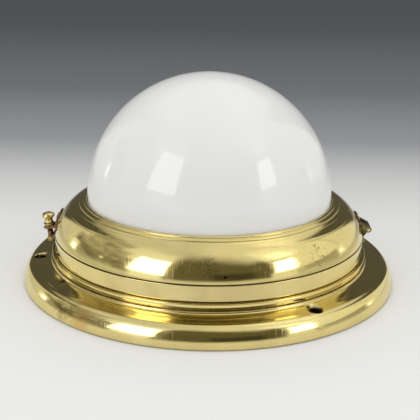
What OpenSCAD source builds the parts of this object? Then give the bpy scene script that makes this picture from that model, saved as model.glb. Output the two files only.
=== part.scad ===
// Round brass ceiling lamp with an opal glass globe in a hinged bezel.
// It stands on its mounting flange, globe up: z = 0 is the plane of the ceiling.
// The hinge is on the +X side and the swing bolt that shuts the bezel on the -X side.

/* [Globe] */
// Outer radius of the opal globe
glass_r = 100; // [84:1:120]
// Thickness of the globe's glass
glass_wall = 3; // [2.5:0.1:3.6]
// Straight neck under the globe's widest line
glass_neck = 7.5; // [6.5:0.25:9]
// How far the globe's foot ring stands out from its neck
glass_foot_w = 6; // [5:0.25:7]
// Thickness of the globe's foot ring
glass_foot_t = 4; // [3.3:0.1:4.8]
// Height of the globe's widest line above the bezel's mouth
globe_lift = 2.1; // [1.7:0.1:2.5]

/* [Bezel] */
// Free gap between the globe and the bezel's mouth
mouth_gap = 1; // [0.8:0.1:1.4]
// Width of the bezel's shoulder, from its mouth to the drum
shoulder_w = 26.2; // [23:0.2:31.4]
// Height of the bezel
bezel_h = 27.6; // [26:0.2:29]
// Radius of the bezel's rounded section
bezel_bulge = 34.75; // [32:0.25:40]
// Thickness of the bezel's spun sheet
bezel_wall = 1.5; // [1.2:0.1:1.8]
// Radius of the rolled bead round the bezel's mouth
mouth_bead_r = 0.9; // [0.7:0.05:1.1]

/* [Drum] */
// Height of the drum's plain band
band_h = 12.2; // [11.5:0.1:15]
// Thickness of the drum's wall
drum_wall = 1.6; // [1.3:0.1:2]
// Height of the round collar at the drum's foot
collar_h = 4.2; // [3.5:0.1:5]
// How far the collar stands out from the band
collar_out = 2.3; // [1.9:0.1:2.8]
// Gap between the drum and the shut bezel
parting = 1.1; // [0.9:0.1:1.4]
// Height of the spigot that centres the bezel
spigot_h = 3.8; // [3.2:0.1:4.2]

/* [Flange] */
// Width of the mounting flange outside the drum
flange_w = 25.8; // [24:0.2:31]
// Height of the flange's upright rim
rim_h = 3.5; // [3:0.25:5]
// Width of the flange's rounded slope, from the rim to the crest
bulge_w = 12.5; // [11:0.5:14]
// Height of the flange's rounded slope
bulge_h = 12.5; // [11:0.5:14]
// How far the flange's flat rises from the crest to the cove
shelf_rise = 1.7; // [0.8:0.1:2.4]
// Radius of the small cove at the drum's foot
cove_r = 1.6; // [1.2:0.1:2.4]
// Thickness of the flange's spun sheet
sheet_t = 1.6; // [1.3:0.1:2]
// Number of mounting screw holes
hole_count = 3; // [3, 4, 6]
// Radius of a mounting screw hole
hole_r = 4.7; // [4:0.1:5.4]
// Radius of a mounting hole's countersink, sideways at the surface
sink_r = 6.3; // [5.8:0.1:7]
// How far outside the flange's crest the mounting holes are
hole_out = -0.5; // [-1.5:0.5:2]
// Compass angle of the first mounting hole, seen from above
hole_turn = -55.5; // [-60:0.5:-45]

/* [Hinge] */
// Width of the hinge
hinge_w = 17; // [15:1:22]
// Outer radius of the hinge's knuckles
knuckle_r = 2.4; // [2.2:0.1:2.9]
// Radius of the hinge pin
hinge_pin_r = 1.4; // [1.2:0.05:1.6]
// Thickness of the hinge's leaves
leaf_t = 1.25; // [1:0.05:1.5]

/* [Swing bolt] */
// Radius of the bolt's stem
stem_r = 2.4; // [2:0.1:2.9]
// Outward lean of the shut bolt
lean = 5.5; // [4.6:0.1:6.6]
// Radius of the bolt's eye
eye_r = 2.6; // [2.4:0.1:2.9]
// Radius of the pin that the bolt swings on
pivot_r = 1.5; // [1.2:0.05:1.7]
// Thickness of the fork that the bolt drops into
fork_t = 2.5; // [2:0.1:3]
// Radius of the fork's round end
fork_r = 5.4; // [5.2:0.1:6.4]
// Thickness of the washer under the thumb nut
washer_t = 1.2; // [1:0.1:1.5]
// Radius of the washer under the thumb nut
washer_r = 4.6; // [4.2:0.1:5]
// Largest radius of the thumb nut's head
nut_r = 5.4; // [5:0.1:6.4]
// Height of the thumb nut
nut_h = 9.2; // [8.6:0.1:11]

/* [Lampholder and bulb] */
// Thickness of the enamelled back plate
plate_t = 1.5; // [1.2:0.1:1.8]
// Radius of the lampholder's porcelain barrel
barrel_r = 20.5; // [19:0.5:23]
// Height of the lampholder
holder_h = 37; // [34:1:44]
// Crest radius of the bulb cap's round thread
cap_r = 13.1; // [12:0.1:13.4]
// Pitch of the bulb cap's round thread
cap_pitch = 3.6; // [3:0.1:4]
// Radius of the bulb's round end
bulb_r = 30; // [25:1:36]
// Length of the bulb from its contact to its top
bulb_l = 108; // [100:1:114]
// Radius of the cable entry's bore
entry_r = 4.5; // [3.8:0.1:5.4]
// Radius of an insulated lead
lead_r = 1.5; // [1.2:0.1:1.8]

/* [Hidden] */
$fn = 96;

// clearances: soldered seat, loose seat, fixed pin, turning pin, screw in its hole
seat = 0.05;
loose = 0.3;
fixed_gap = 0.02;
turning_gap = 0.06;
screw_gap = 0.05;
// small overlap that makes two shapes of one piece one solid, and overshoot of a cut
weld = 0.2;
cut = 1;

// main radii
mouth_r = glass_r + mouth_gap;
band_r = mouth_r + shoulder_w;
base_r = band_r + flange_w;
collar_r = band_r + collar_out;
hole_ring_r = base_r - bulge_w + hole_out;
neck_r = collar_r + 0.5;
drum_in = band_r - drum_wall;
ledge_in = drum_in - 11;

// main heights
z_crest = rim_h + bulge_h;
z_hole = z_crest + 0.15;
z_ledge = z_crest + shelf_rise + cove_r + 0.3;
foot_h = 1;
groove_h = 1.2;
z_collar = z_ledge + foot_h;
z_band = z_collar + collar_h + groove_h;
z_top = z_band + band_h;
z_foot = z_top + parting;
z_mouth = z_foot + bezel_h;
glass_z = z_mouth + globe_lift;
z_plate = z_ledge + plate_t;

// centre of the bezel's round section, from its foot and mouth points
foot_in = 0.4;
foot_r = band_r - foot_in;
chord = [mouth_r - foot_r, z_mouth - z_foot];
half_chord = norm(chord) / 2;
bow = sqrt(bezel_bulge * bezel_bulge - half_chord * half_chord);
bezel_c = [(foot_r + mouth_r) / 2 - bow * chord[1] / norm(chord),
           (z_foot + z_mouth) / 2 + bow * chord[0] / norm(chord)];

// radius of the bezel's surface at height z, d outside its skin
function bezel_at(z, d = 0) =
  bezel_c[0] + sqrt(pow(bezel_bulge + d, 2) - pow(z - bezel_c[1], 2));
// height of the bezel's surface at radius r, d outside its skin
function bezel_z(r, d = 0) =
  bezel_c[1] + sqrt(pow(bezel_bulge + d, 2) - pow(r - bezel_c[0], 2));
// points of an elliptic arc from angle a to angle b
function arc(c, rx, rz, a, b, n = 12) =
  [for (i = [0:n]) let (t = a + (b - a) * i / n) [c[0] + rx * cos(t), c[1] + rz * sin(t)]];
// the bezel's section line from height z0 up to radius r1, d outside its skin
function bezel_line(d, z0, r1, n = 24) =
  let (a = asin((z0 - bezel_c[1]) / (bezel_bulge + d)),
       b = acos((r1 - bezel_c[0]) / (bezel_bulge + d)))
  arc(bezel_c, bezel_bulge + d, bezel_bulge + d, a, b, n);
function reversed(v) = [for (i = [len(v) - 1:-1:0]) v[i]];

// heights and thicknesses inside the bezel, from the globe's foot
z_glass_foot = glass_z - glass_neck - glass_foot_t;
gasket_r = glass_r + glass_foot_w - 0.6;
gasket_z = z_glass_foot + glass_foot_t + seat;
gasket_gap = 0.34;
gasket_t = bezel_z(gasket_r, -bezel_wall) - gasket_gap - gasket_z;
ring_t = 1.9;
ring_in = glass_r - glass_wall - weld;
lug_r0 = glass_r + glass_foot_w + 1.2;
lug_h = 3.4;
lug_w = 9;
ring_screw_r = 1.45;
ring_screw_ring = lug_r0 + 2.8;
ring_angles = [90, 210, 330];
ring_r = ring_screw_ring + 3;

// back plate and its screws
plate_r = drum_in - 0.4;
plate_angles = [30, 150, 270];
plate_screw_ring = (ledge_in + plate_r) / 2 + 0.2;
m4_r = 1.95;
m4_head_r = 3.5;
m4_head_h = 2.6;
nut_t = 3.2;
nut_flats = 7;
nut_tail = 0.8;
m3_r = 1.5;
m3_head_r = 2.8;
m3_head_h = 1.9;
m3_tail = 1.5;

// hinge
hinge_x = band_r + 4.7;
hinge_z = z_foot + 2.7;
hinge_gap = 0.3;
knuckle_y = hinge_w / 6;
leaf_top = z_foot + 13.9;
wedge_top = z_foot + 9.7;
leaf_rivet_z = wedge_top + 2.1;
drum_rivet_z = z_band + 5.5;
rivet_r = 1;
rivet_head_r = 1.7;
rivet_head_h = 0.9;
hinge_rivet_y = hinge_w * 0.3;

// swing bolt; its own frame has the pivot at the origin and the bolt along +z
bolt_x = -(band_r + 4.6);
bolt_z = z_band + 3;
seat_w = (z_foot + 1.15 - bolt_z) / cos(lean);
eye_w = 2 * stem_r + 0.2;
ear_gap = 0.2;
ear_t = 1.6;
ear_y = eye_w / 2 + ear_gap + ear_t;
bracket_t = 1.1;
bracket_w = 17;
bracket_rivet_y = bracket_w / 2 - 2.3;
slot_gap = 0.5;
fork_w = 2 * fork_r;
fork_in = 8;
lug_t = leaf_t + 0.2;
lug_top = z_foot + 13.2;
lug_rivet_z = z_foot + 8.4;
lug_rivet_y = 3.4;
washer_w = seat_w + 0.1;
nut_w = washer_w + washer_t + seat;
nut_bore = stem_r + 0.08;
bore_depth = 7.6;
stem_l = nut_w + bore_depth - 0.4;

// lampholder and bulb
holder_base_r = barrel_r + 7.5;
holder_base_h = 7;
socket_r = cap_r + 1.9;
socket_floor = z_plate + 10;
thread_depth = 1;
shell_gap = 0.35;
shell_t = 0.5;
bulb_z = socket_floor + 2.6;
cap_z = bulb_z + 3.3;
thread_turns = 4;
thread_lead = 0.6;
cap_top = cap_z + thread_turns * cap_pitch + 9;
bulb_c = bulb_z + bulb_l - bulb_r;
bulb_wall = 1;
terminal_ring = barrel_r + 3.8;
tab = [5.8, 6, 0.8];
tab_screw_r = 1.25;
tab_top = z_plate + holder_base_h + tab[2];
shell_rim = 3;

// terminal block, cable entry and earth screw on the back plate
block = [20, 28, 13];
block_x = -holder_base_r - 22;
entry_x = block_x - 32;
way_y = 7.5;
way_z = z_plate + 6.4;
insert_r = 3.2;
insert_l = block[0] - 2;
clamp_x = 5;
clamp_r = 1.3;
clamp_head_r = 1.9;
block_seat = 7;
grommet_lip = 1.8;
grommet_w = 5;
grommet_neck = 2.4;
earth_at = [block_x - 12, 26];

// V grooves turned near the bezel's mouth: distance from the mouth, and width
mouth_grooves = [[2.3, 0.6], [6.2, 1], [9.2, 0.35], [14.4, 0.25]];

// routes of the two leads, in plain points round the lampholder
lead_end_z = tab_top + lead_r + seat;
lead_end_x = terminal_ring + 2.6;
live_path = [
  [block_x + 6, way_y, way_z], [block_x + 9.5, way_y, way_z], [block_x + 12.5, way_y, way_z],
  [block_x + 15.5, 6.8, way_z + 0.9], [block_x + 19, 4.4, lead_end_z - 0.9],
  [block_x + 22, 1.6, lead_end_z], [-lead_end_x, 0.6, lead_end_z]
];
around = holder_base_r + lead_r + 1;
low_z = z_plate + lead_r + 0.3;
neutral_path = concat(
  [[block_x + 6, -way_y, way_z], [block_x + 9, -way_y, way_z], [block_x + 11, -way_y, way_z],
   [block_x + 13, -way_y - 0.6, way_z - 1.2], [block_x + 14.8, -way_y - 2.2, way_z - 3],
   [block_x + 16.2, -way_y - 4.6, low_z + 0.5]],
  [for (a = [208:12:340]) [around * cos(a), around * sin(a), low_z]],
  [[around * cos(349) - 0.1, around * sin(349), low_z + 1.4], [around - 0.4, -2, low_z + 4.2],
   [around - 1.3, -0.4, lead_end_z - 1.4], [around - 3.2, 0, lead_end_z],
   [lead_end_x, 0, lead_end_z]]
);

// a turned piece from its section
module turned(points) {
  rotate_extrude() polygon(points);
}

// a piece of the bezel's skin, from d0 to d1 outside it, between two heights and as wide as w
module bezel_patch(d0, d1, z0, z1, w, side) {
  intersection() {
    turned(concat(bezel_line(d0, z0, bezel_r_at(z1), 10), reversed(bezel_line(d1, z0, bezel_r_at(z1), 10))));
    translate([side > 0 ? mouth_r * 0.8 : -base_r, -w / 2, z0]) cube([base_r - mouth_r * 0.8, w, z1 - z0]);
  }
}
function bezel_r_at(z) = bezel_at(z) - 3;

// everything inside the shut bezel's skin, used to cut what is soldered to it
module bezel_envelope() {
  turned(concat([[glass_r / 2, z_foot]], bezel_line(seat, z_foot, mouth_r), [[glass_r / 2, z_mouth]]));
}

// puts a piece on the bezel's skin at height z, with +z pointing straight out of the skin
module on_bezel(z, y, side) {
  b = asin((z - bezel_c[1]) / bezel_bulge);
  rotate([0, 0, side > 0 ? 0 : 180])
    translate([bezel_at(z), y, z])
      rotate([0, 90 - b, 0]) children();
}

// a rivet through plates: grip is the thickness under the outer head
module rivet(grip) {
  translate([0, 0, -grip - 0.6]) cylinder(r = rivet_r + 0.5, h = 0.6 - seat);
  translate([0, 0, -grip - 0.3]) cylinder(r = rivet_r, h = grip + 0.6);
  intersection() {
    translate([0, 0, -1.3]) sphere(r = sqrt(1.3 * 1.3 + rivet_head_r * rivet_head_r) + 0.05);
    translate([0, 0, seat]) cylinder(r = rivet_head_r, h = rivet_head_h);
  }
}

// a slotted cheese-head screw, head on top of z = 0 and shank below
module screw(r, shank, head_r, head_h) {
  difference() {
    union() {
      translate([0, 0, -shank]) cylinder(r = r, h = shank + weld);
      cylinder(r = head_r, h = head_h);
    }
    translate([-head_r - cut, -0.4, head_h * 0.55]) cube([2 * head_r + 2 * cut, 0.8, head_h]);
  }
}

// a tube swept along a path, with flat ends square to its first and last runs
module swept(path, r, up = [0, 0, 1], sides = 8) {
  n = len(path);
  function unit(v) = v / norm(v);
  function run(i) = unit(path[min(i + 1, n - 1)] - path[max(i - 1, 0)]);
  rings = [for (i = [0:n - 1])
    let (t = run(i), s = unit(cross(t, up)), u = cross(s, t))
    for (k = [0:sides - 1]) path[i] + r * (cos(360 * k / sides) * s + sin(360 * k / sides) * u)];
  sides_faces = [for (i = [0:n - 2]) for (k = [0:sides - 1])
    let (a = i * sides + k, b = i * sides + (k + 1) % sides) each
    [[a, b, b + sides], [a, b + sides, a + sides]]];
  ends = concat(
    [for (k = [1:sides - 2]) [0, k + 1, k]],
    [for (k = [1:sides - 2]) [(n - 1) * sides, (n - 1) * sides + k, (n - 1) * sides + k + 1]]);
  polyhedron(points = rings, faces = concat(sides_faces, ends));
}

// a smooth path through hand-chosen points, with steps points on each stretch
function smooth(p, steps = 4) = concat(
  [for (i = [0:len(p) - 2]) for (k = [0:steps - 1])
    let (t = k / steps, a = p[max(i - 1, 0)], b = p[i], c = p[i + 1], d = p[min(i + 2, len(p) - 1)])
    0.5 * (2 * b + (c - a) * t + (2 * a - 5 * b + 4 * c - d) * t * t + (3 * b - a - 3 * c + d) * t * t * t)],
  [p[len(p) - 1]]);

// a rise from 0 to 1 that starts level and goes on almost straight
function slow_rise(u) = (sqrt(u * u + 0.0144) - 0.12) / (sqrt(1.0144) - 0.12);

// the flange's skin line, t inside its outer surface, from the rim to the ledge
function flange_line(t) =
  let (crest = base_r - bulge_w, c = [neck_r + cove_r, z_crest + shelf_rise + cove_r],
       end = t > 0 ? 180 + asin((c[1] - z_ledge + t) / (cove_r + t)) : 180)
  concat(
    [[base_r - t, 0]],
    arc([crest, rim_h], bulge_w - t, bulge_h - t, 0, 90, 20),
    [for (u = [0.1, 0.2, 0.4, 0.7]) [crest + u * (c[0] - crest), z_crest - t + shelf_rise * slow_rise(u)]],
    arc(c, cove_r + t, cove_r + t, 270, end, 8),
    t > 0 ? [] : [[neck_r - 0.3, z_ledge]],
    [[ledge_in, z_ledge - t]]
  );

module mounting_holes() {
  for (i = [0:hole_count - 1]) rotate([0, 0, hole_turn + 360 * i / hole_count])
    translate([hole_ring_r, 0, 0])
    children();
}

module plate_places() {
  for (a = plate_angles) rotate([0, 0, a]) translate([plate_screw_ring, 0, 0]) children();
}

module base_flange() {
  sink_slope = 0.7;
  sink_h = sink_slope * (sink_r - hole_r);
  color("goldenrod") difference() {
    turned(concat(flange_line(0), reversed(flange_line(sheet_t))));
    mounting_holes() {
      translate([0, 0, rim_h]) cylinder(r = hole_r, h = bulge_h + shelf_rise);
      translate([0, 0, z_hole - sink_h]) cylinder(r1 = hole_r, r2 = sink_r + shelf_rise / sink_slope, h = sink_h + shelf_rise);
    }
    plate_places() translate([0, 0, z_ledge - sheet_t - cut])
      cylinder(r = m4_r + screw_gap, h = sheet_t + 2 * cut);
  }
}

// holes for a pair of rivets through the drum's +X side
module drum_rivet_holes(y) {
  for (s = [-1, 1]) translate([0, s * y, drum_rivet_z]) rotate([0, 90, 0])
    cylinder(r = rivet_r + screw_gap, h = base_r);
}

// holes for a pair of rivets through the bezel at height z
module bezel_rivet_holes(z, y, side) {
  for (s = [-1, 1]) on_bezel(z, s * y, side) translate([0, 0, -3]) cylinder(r = rivet_r + screw_gap, h = 6);
}

module drum() {
  spigot_r = foot_r - bezel_wall - 1.7;
  // rounding of the collar's edges
  soft = 0.8;
  color("gold") difference() {
    turned(concat(
      [[drum_in, z_ledge], [collar_r - soft - 0.1, z_ledge], [collar_r - soft - 0.1, z_collar - weld]],
      arc([collar_r - soft, z_collar + soft], soft, soft, 270, 360, 5),
      arc([collar_r - soft, z_collar + collar_h - soft], soft, soft, 0, 90, 5),
      [[band_r + 0.3, z_collar + collar_h], [band_r - 0.5, z_collar + collar_h + 0.5],
       [band_r, z_band], [band_r, z_top - 0.3], [band_r - 0.3, z_top],
       [spigot_r, z_top], [spigot_r, z_top + spigot_h], [spigot_r - drum_wall, z_top + spigot_h],
       [spigot_r - drum_wall, z_top - drum_wall], [drum_in, z_top - drum_wall]]
    ));
    drum_rivet_holes(hinge_rivet_y);
    rotate([0, 0, 180]) drum_rivet_holes(bracket_rivet_y);
  }
}

module back_plate() {
  color("white") difference() {
    translate([0, 0, z_ledge]) cylinder(r = plate_r, h = plate_t);
    plate_places() translate([0, 0, z_ledge - cut]) cylinder(r = m4_r + screw_gap, h = plate_t + 2 * cut);
    translate([entry_x, 0, z_ledge - cut]) cylinder(r = entry_r + grommet_neck + 0.1, h = plate_t + 2 * cut);
    for (s = [-1, 1]) translate([0, s * terminal_ring, z_ledge - cut])
      cylinder(r = m3_r + screw_gap, h = plate_t + 2 * cut);
    translate([block_x, 0, z_ledge - cut]) cylinder(r = m3_r + screw_gap, h = plate_t + 2 * cut);
    translate([earth_at[0], earth_at[1], z_ledge - cut])
      cylinder(r = m4_r + screw_gap, h = plate_t + 2 * cut);
  }
}

module plate_screws() {
  color("silver") plate_places() translate([0, 0, z_plate])
    screw(m4_r, plate_t + sheet_t + nut_t + nut_tail, m4_head_r, m4_head_h);
}

module plate_nuts() {
  color("silver") plate_places() translate([0, 0, z_ledge - sheet_t - nut_t]) difference() {
    cylinder(r = nut_flats / sqrt(3), h = nut_t, $fn = 6);
    translate([0, 0, -cut]) cylinder(r = m4_r + screw_gap, h = nut_t + 2 * cut, $fn = 48);
  }
}

module cable_grommet() {
  lip_r = entry_r + grommet_w;
  color("dimgray") translate([entry_x, 0, 0]) turned([
    [entry_r, z_ledge - grommet_lip], [lip_r - 0.4, z_ledge - grommet_lip],
    [lip_r, z_ledge - grommet_lip + 0.4], [lip_r, z_ledge],
    [entry_r + grommet_neck, z_ledge], [entry_r + grommet_neck, z_plate],
    [lip_r, z_plate], [lip_r, z_plate + grommet_lip - 0.4], [lip_r - 0.4, z_plate + grommet_lip],
    [entry_r, z_plate + grommet_lip]
  ]);
}

module lampholder_body() {
  color("ivory") difference() {
    turned(concat(
      [[0, z_plate], [holder_base_r, z_plate]],
      arc([holder_base_r - 1.5, z_plate + holder_base_h - 1.5], 1.5, 1.5, 0, 90, 5),
      [[barrel_r, z_plate + holder_base_h]],
      arc([barrel_r - 2, z_plate + holder_h - 2], 2, 2, 0, 90, 5),
      [[socket_r, z_plate + holder_h], [socket_r, socket_floor], [0, socket_floor]]
    ));
    for (s = [-1, 1]) translate([0, s * terminal_ring, z_plate - cut])
      cylinder(r = m3_r + screw_gap, h = holder_base_h + 2 * cut);
    for (s = [-1, 1]) translate([s * terminal_ring, 0, z_plate + 2])
      cylinder(r = tab_screw_r + screw_gap, h = holder_base_h);
  }
}

// the round thread's skin line: crest radius r, from height z0
function thread_line(r, z0) = [for (i = [0:thread_turns * 6])
  [r - thread_depth / 2 + thread_depth / 2 * cos(60 * i + 180), z0 + cap_pitch * i / 6]];

module lampholder_shell() {
  z0 = cap_z + thread_lead;
  z1 = z0 + thread_turns * cap_pitch;
  floor_z = socket_floor + seat;
  shell_r = cap_r + shell_gap;
  floor_hole = 6;
  color("khaki") turned(concat(
    [[floor_hole, floor_z], [shell_r + shell_t, floor_z], [shell_r + shell_t, z1 + shell_rim],
     [shell_r, z1 + shell_rim], [shell_r, z1 + thread_lead]],
    reversed(thread_line(shell_r, z0)),
    [[shell_r, z0 - 1], [shell_r, floor_z + shell_t], [floor_hole, floor_z + shell_t]]
  ));
}

module centre_contact() {
  z0 = socket_floor + seat;
  color("khaki") rotate([90, 0, 0]) linear_extrude(5, center = true) polygon([
    [-4.8, z0], [4.8, z0], [4.8, z0 + 0.5], [-2.2, z0 + 0.5], [-1.2, z0 + 1.7], [2, z0 + 1.7],
    [2.4, z0 + 2.2], [-1.6, z0 + 2.2], [-3, z0 + 0.5], [-4.8, z0 + 0.5]
  ]);
}

module lampholder_screws() {
  color("silver") for (s = [-1, 1]) translate([0, s * terminal_ring, z_plate + holder_base_h])
    screw(m3_r, holder_base_h + plate_t + m3_tail, m3_head_r, m3_head_h);
}

module holder_terminals() {
  color("khaki") for (s = [-1, 1]) translate([s * terminal_ring, 0, z_plate + holder_base_h]) {
    screw(tab_screw_r, holder_base_h - 3, 2.4, tab[2] + 1.2);
    translate([-tab[0] / 2, -tab[1] / 2, 0]) cube(tab);
  }
}

module terminal_block() {
  color("ivory") difference() {
    translate([block_x, 0, z_plate]) linear_extrude(block[2]) offset(r = 2, $fn = 32)
      square([block[0] - 4, block[1] - 4], center = true);
    for (s = [-1, 1]) {
      translate([block_x - block[0], s * way_y, way_z]) rotate([0, 90, 0])
        cylinder(r = insert_r + screw_gap, h = 2 * block[0]);
      for (e = [-1, 1]) translate([block_x + e * clamp_x, s * way_y, way_z])
        cylinder(r = clamp_head_r + 0.4, h = block[2]);
    }
    translate([block_x, 0, z_plate - cut]) cylinder(r = m3_r + screw_gap, h = block[2] + 2 * cut);
    translate([block_x, 0, z_plate + block_seat]) cylinder(r = m3_head_r + 0.4, h = block[2]);
  }
}

module terminal_inserts() {
  color("khaki") for (s = [-1, 1]) translate([block_x, s * way_y, way_z]) difference() {
    rotate([0, 90, 0]) cylinder(r = insert_r, h = insert_l, center = true);
    rotate([0, 90, 0]) cylinder(r = lead_r + 2 * screw_gap, h = insert_l + 2 * cut, center = true);
    for (e = [-1, 1]) translate([e * clamp_x, 0, 0]) cylinder(r = clamp_r + screw_gap, h = insert_r + cut);
  }
}

module terminal_screws() {
  // height of the heads' undersides over the insert, and how far the shanks reach down to the leads
  stand = 0.6;
  color("khaki") for (s = [-1, 1]) for (e = [-1, 1])
    translate([block_x + e * clamp_x, s * way_y, way_z + insert_r + stand])
      screw(clamp_r, insert_r + stand - lead_r - loose, clamp_head_r, 1.6);
}

module block_screw() {
  color("silver") translate([block_x, 0, z_plate + block_seat])
    screw(m3_r, block_seat + plate_t + m3_tail, m3_head_r, m3_head_h);
}

module live_lead() {
  color("firebrick") swept(smooth(live_path), lead_r);
}

module neutral_lead() {
  color("black") swept(smooth(neutral_path, 2), lead_r);
}

module earth_screw() {
  washer = [5, 0.8];
  color("goldenrod") translate([earth_at[0], earth_at[1], z_plate]) {
    cylinder(r = washer[0], h = washer[1]);
    translate([0, 0, washer[1]]) screw(m4_r, plate_t + 2.5, m4_head_r, m4_head_h);
  }
}

module hinge_leaf_base() {
  k = [hinge_x, hinge_z];
  color("darkgoldenrod") difference() {
    union() {
      intersection() {
        turned([[band_r + seat, z_band + 1], [band_r + leaf_t, z_band + 1],
                [band_r + leaf_t, z_top - 0.8], [band_r + seat, z_top - 0.8]]);
        translate([0, -hinge_w / 2, 0]) cube([base_r, hinge_w, z_top]);
      }
      rotate([90, 0, 0]) linear_extrude(2 * knuckle_y - hinge_gap, center = true) polygon(concat(
        [[band_r + 0.3, z_top - 1], [band_r + 0.3, z_top - 4.6], [band_r + leaf_t, z_top - 4.8]],
        arc(k, knuckle_r, knuckle_r, -40, 160, 20)
      ));
    }
    translate([hinge_x, 0, hinge_z]) rotate([90, 0, 0])
      cylinder(r = hinge_pin_r + fixed_gap, h = hinge_w + 2 * cut, center = true);
    drum_rivet_holes(hinge_rivet_y);
  }
}

// a pair of rivets that hold a plate of thickness t to the drum
module drum_rivets(y, t) {
  for (s = [-1, 1]) translate([band_r + t, s * y, drum_rivet_z]) rotate([0, 90, 0])
    rivet(t + drum_wall + 0.35);
}

module hinge_rivets_base() {
  color("goldenrod") drum_rivets(hinge_rivet_y, leaf_t);
}

module hinge_pin() {
  color("gold") translate([hinge_x, 0, hinge_z]) rotate([90, 0, 0])
    cylinder(r = hinge_pin_r, h = hinge_w + 0.8, center = true);
}

module bolt_bracket() {
  color("darkgoldenrod") difference() {
    union() {
      intersection() {
        turned([[band_r + seat, z_band + 0.6], [band_r + bracket_t, z_band + 0.6],
                [band_r + bracket_t, z_top - 1.6], [band_r + seat, z_top - 1.6]]);
        translate([-base_r, -bracket_w / 2, 0]) cube([base_r, bracket_w, z_top]);
      }
      for (s = [-1, 1]) translate([0, s * (ear_y - ear_t / 2), 0]) rotate([90, 0, 0])
        linear_extrude(ear_t, center = true) union() {
          translate([bolt_x, bolt_z]) circle(r = eye_r);
          polygon([[bolt_x, bolt_z - eye_r], [bolt_x, bolt_z + eye_r], [-band_r - 0.4, bolt_z + eye_r + 2],
                   [-band_r - 0.4, bolt_z - eye_r + 0.3]]);
        }
    }
    translate([bolt_x, 0, bolt_z]) rotate([90, 0, 0])
      cylinder(r = pivot_r + fixed_gap, h = 4 * ear_y, center = true);
    rotate([0, 0, 180]) drum_rivet_holes(bracket_rivet_y);
  }
}

module bracket_rivets() {
  color("goldenrod") rotate([0, 0, 180]) drum_rivets(bracket_rivet_y, bracket_t);
}

module pivot_pin() {
  color("gold") translate([bolt_x, 0, bolt_z]) rotate([90, 0, 0]) {
    cylinder(r = pivot_r, h = 2 * ear_y + 0.5, center = true);
    for (s = [-1, 1]) translate([0, 0, s * (ear_y + seat + 0.35)])
      cylinder(r = pivot_r + 0.6, h = 0.7, center = true);
  }
}

module bezel() {
  color("gold") difference() {
    rotate_extrude() difference() {
      union() {
        polygon(concat(bezel_line(0, z_foot, mouth_r), reversed(bezel_line(-bezel_wall, z_foot, mouth_r))));
        translate([mouth_r + mouth_bead_r * 0.4, z_mouth - bezel_wall / 2])
          circle(r = mouth_bead_r, $fn = 24);
      }
      for (g = mouth_grooves) translate([mouth_r + g[0], bezel_z(mouth_r + g[0])]) rotate(45)
        square(g[1], center = true);
    }
    bezel_rivet_holes(leaf_rivet_z, hinge_rivet_y, 1);
    bezel_rivet_holes(lug_rivet_z, lug_rivet_y, -1);
  }
}

module glass_dome() {
  foot_edge = glass_r + glass_foot_w;
  soft = 0.6;
  color("whitesmoke") turned(concat(
    [[glass_r - glass_wall, z_glass_foot], [foot_edge - soft, z_glass_foot],
     [foot_edge, z_glass_foot + soft], [foot_edge, z_glass_foot + glass_foot_t - soft],
     [foot_edge - soft, z_glass_foot + glass_foot_t], [glass_r, z_glass_foot + glass_foot_t]],
    arc([0, glass_z], glass_r, glass_r, 0, 90, 40),
    reversed(arc([0, glass_z], glass_r - glass_wall, glass_r - glass_wall, 0, 90, 40))
  ));
}

module glass_gasket() {
  color("dimgray") turned([[mouth_r, gasket_z], [gasket_r, gasket_z],
    [gasket_r, gasket_z + gasket_t], [mouth_r, gasket_z + gasket_t]]);
}

module ring_places() {
  for (a = ring_angles) rotate([0, 0, a]) translate([ring_screw_ring, 0, 0]) children();
}

module glass_ring() {
  z0 = z_glass_foot - ring_t - seat;
  color("goldenrod") difference() {
    turned([[ring_in, z0], [ring_r, z0], [ring_r, z0 + ring_t], [ring_in, z0 + ring_t]]);
    ring_places() translate([0, 0, z0 - cut]) cylinder(r = ring_screw_r + screw_gap, h = ring_t + 2 * cut);
  }
}

module ring_lugs() {
  z0 = z_glass_foot;
  color("goldenrod") intersection() {
    difference() {
      for (a = ring_angles) rotate([0, 0, a]) translate([lug_r0, -lug_w / 2, z0]) cube([9, lug_w, lug_h]);
      ring_places() translate([0, 0, z0 - cut]) cylinder(r = ring_screw_r + screw_gap, h = lug_h + 2 * cut);
    }
    turned(concat(
      [[lug_r0 / 2, z0 - cut]],
      bezel_line(-bezel_wall - seat, z0 - cut, lug_r0 / 2 + mouth_r / 2),
      [[lug_r0 / 2, z0 + 2 * lug_h]]
    ));
  }
}

module ring_screws() {
  z0 = z_glass_foot - ring_t - 2 * seat;
  color("gold") ring_places() translate([0, 0, z0]) rotate([180, 0, 0])
    screw(ring_screw_r, ring_t + 2.6, 2.75, 1.8);
}

module bezel_seal() {
  z0 = z_top + spigot_h + loose;
  h = 3;
  r1 = bezel_at(z0 + h, -bezel_wall) - 0.15;
  color("tan") turned([[r1 - 3, z0], [r1, z0], [r1, z0 + h], [r1 - 3, z0 + h]]);
}

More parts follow.
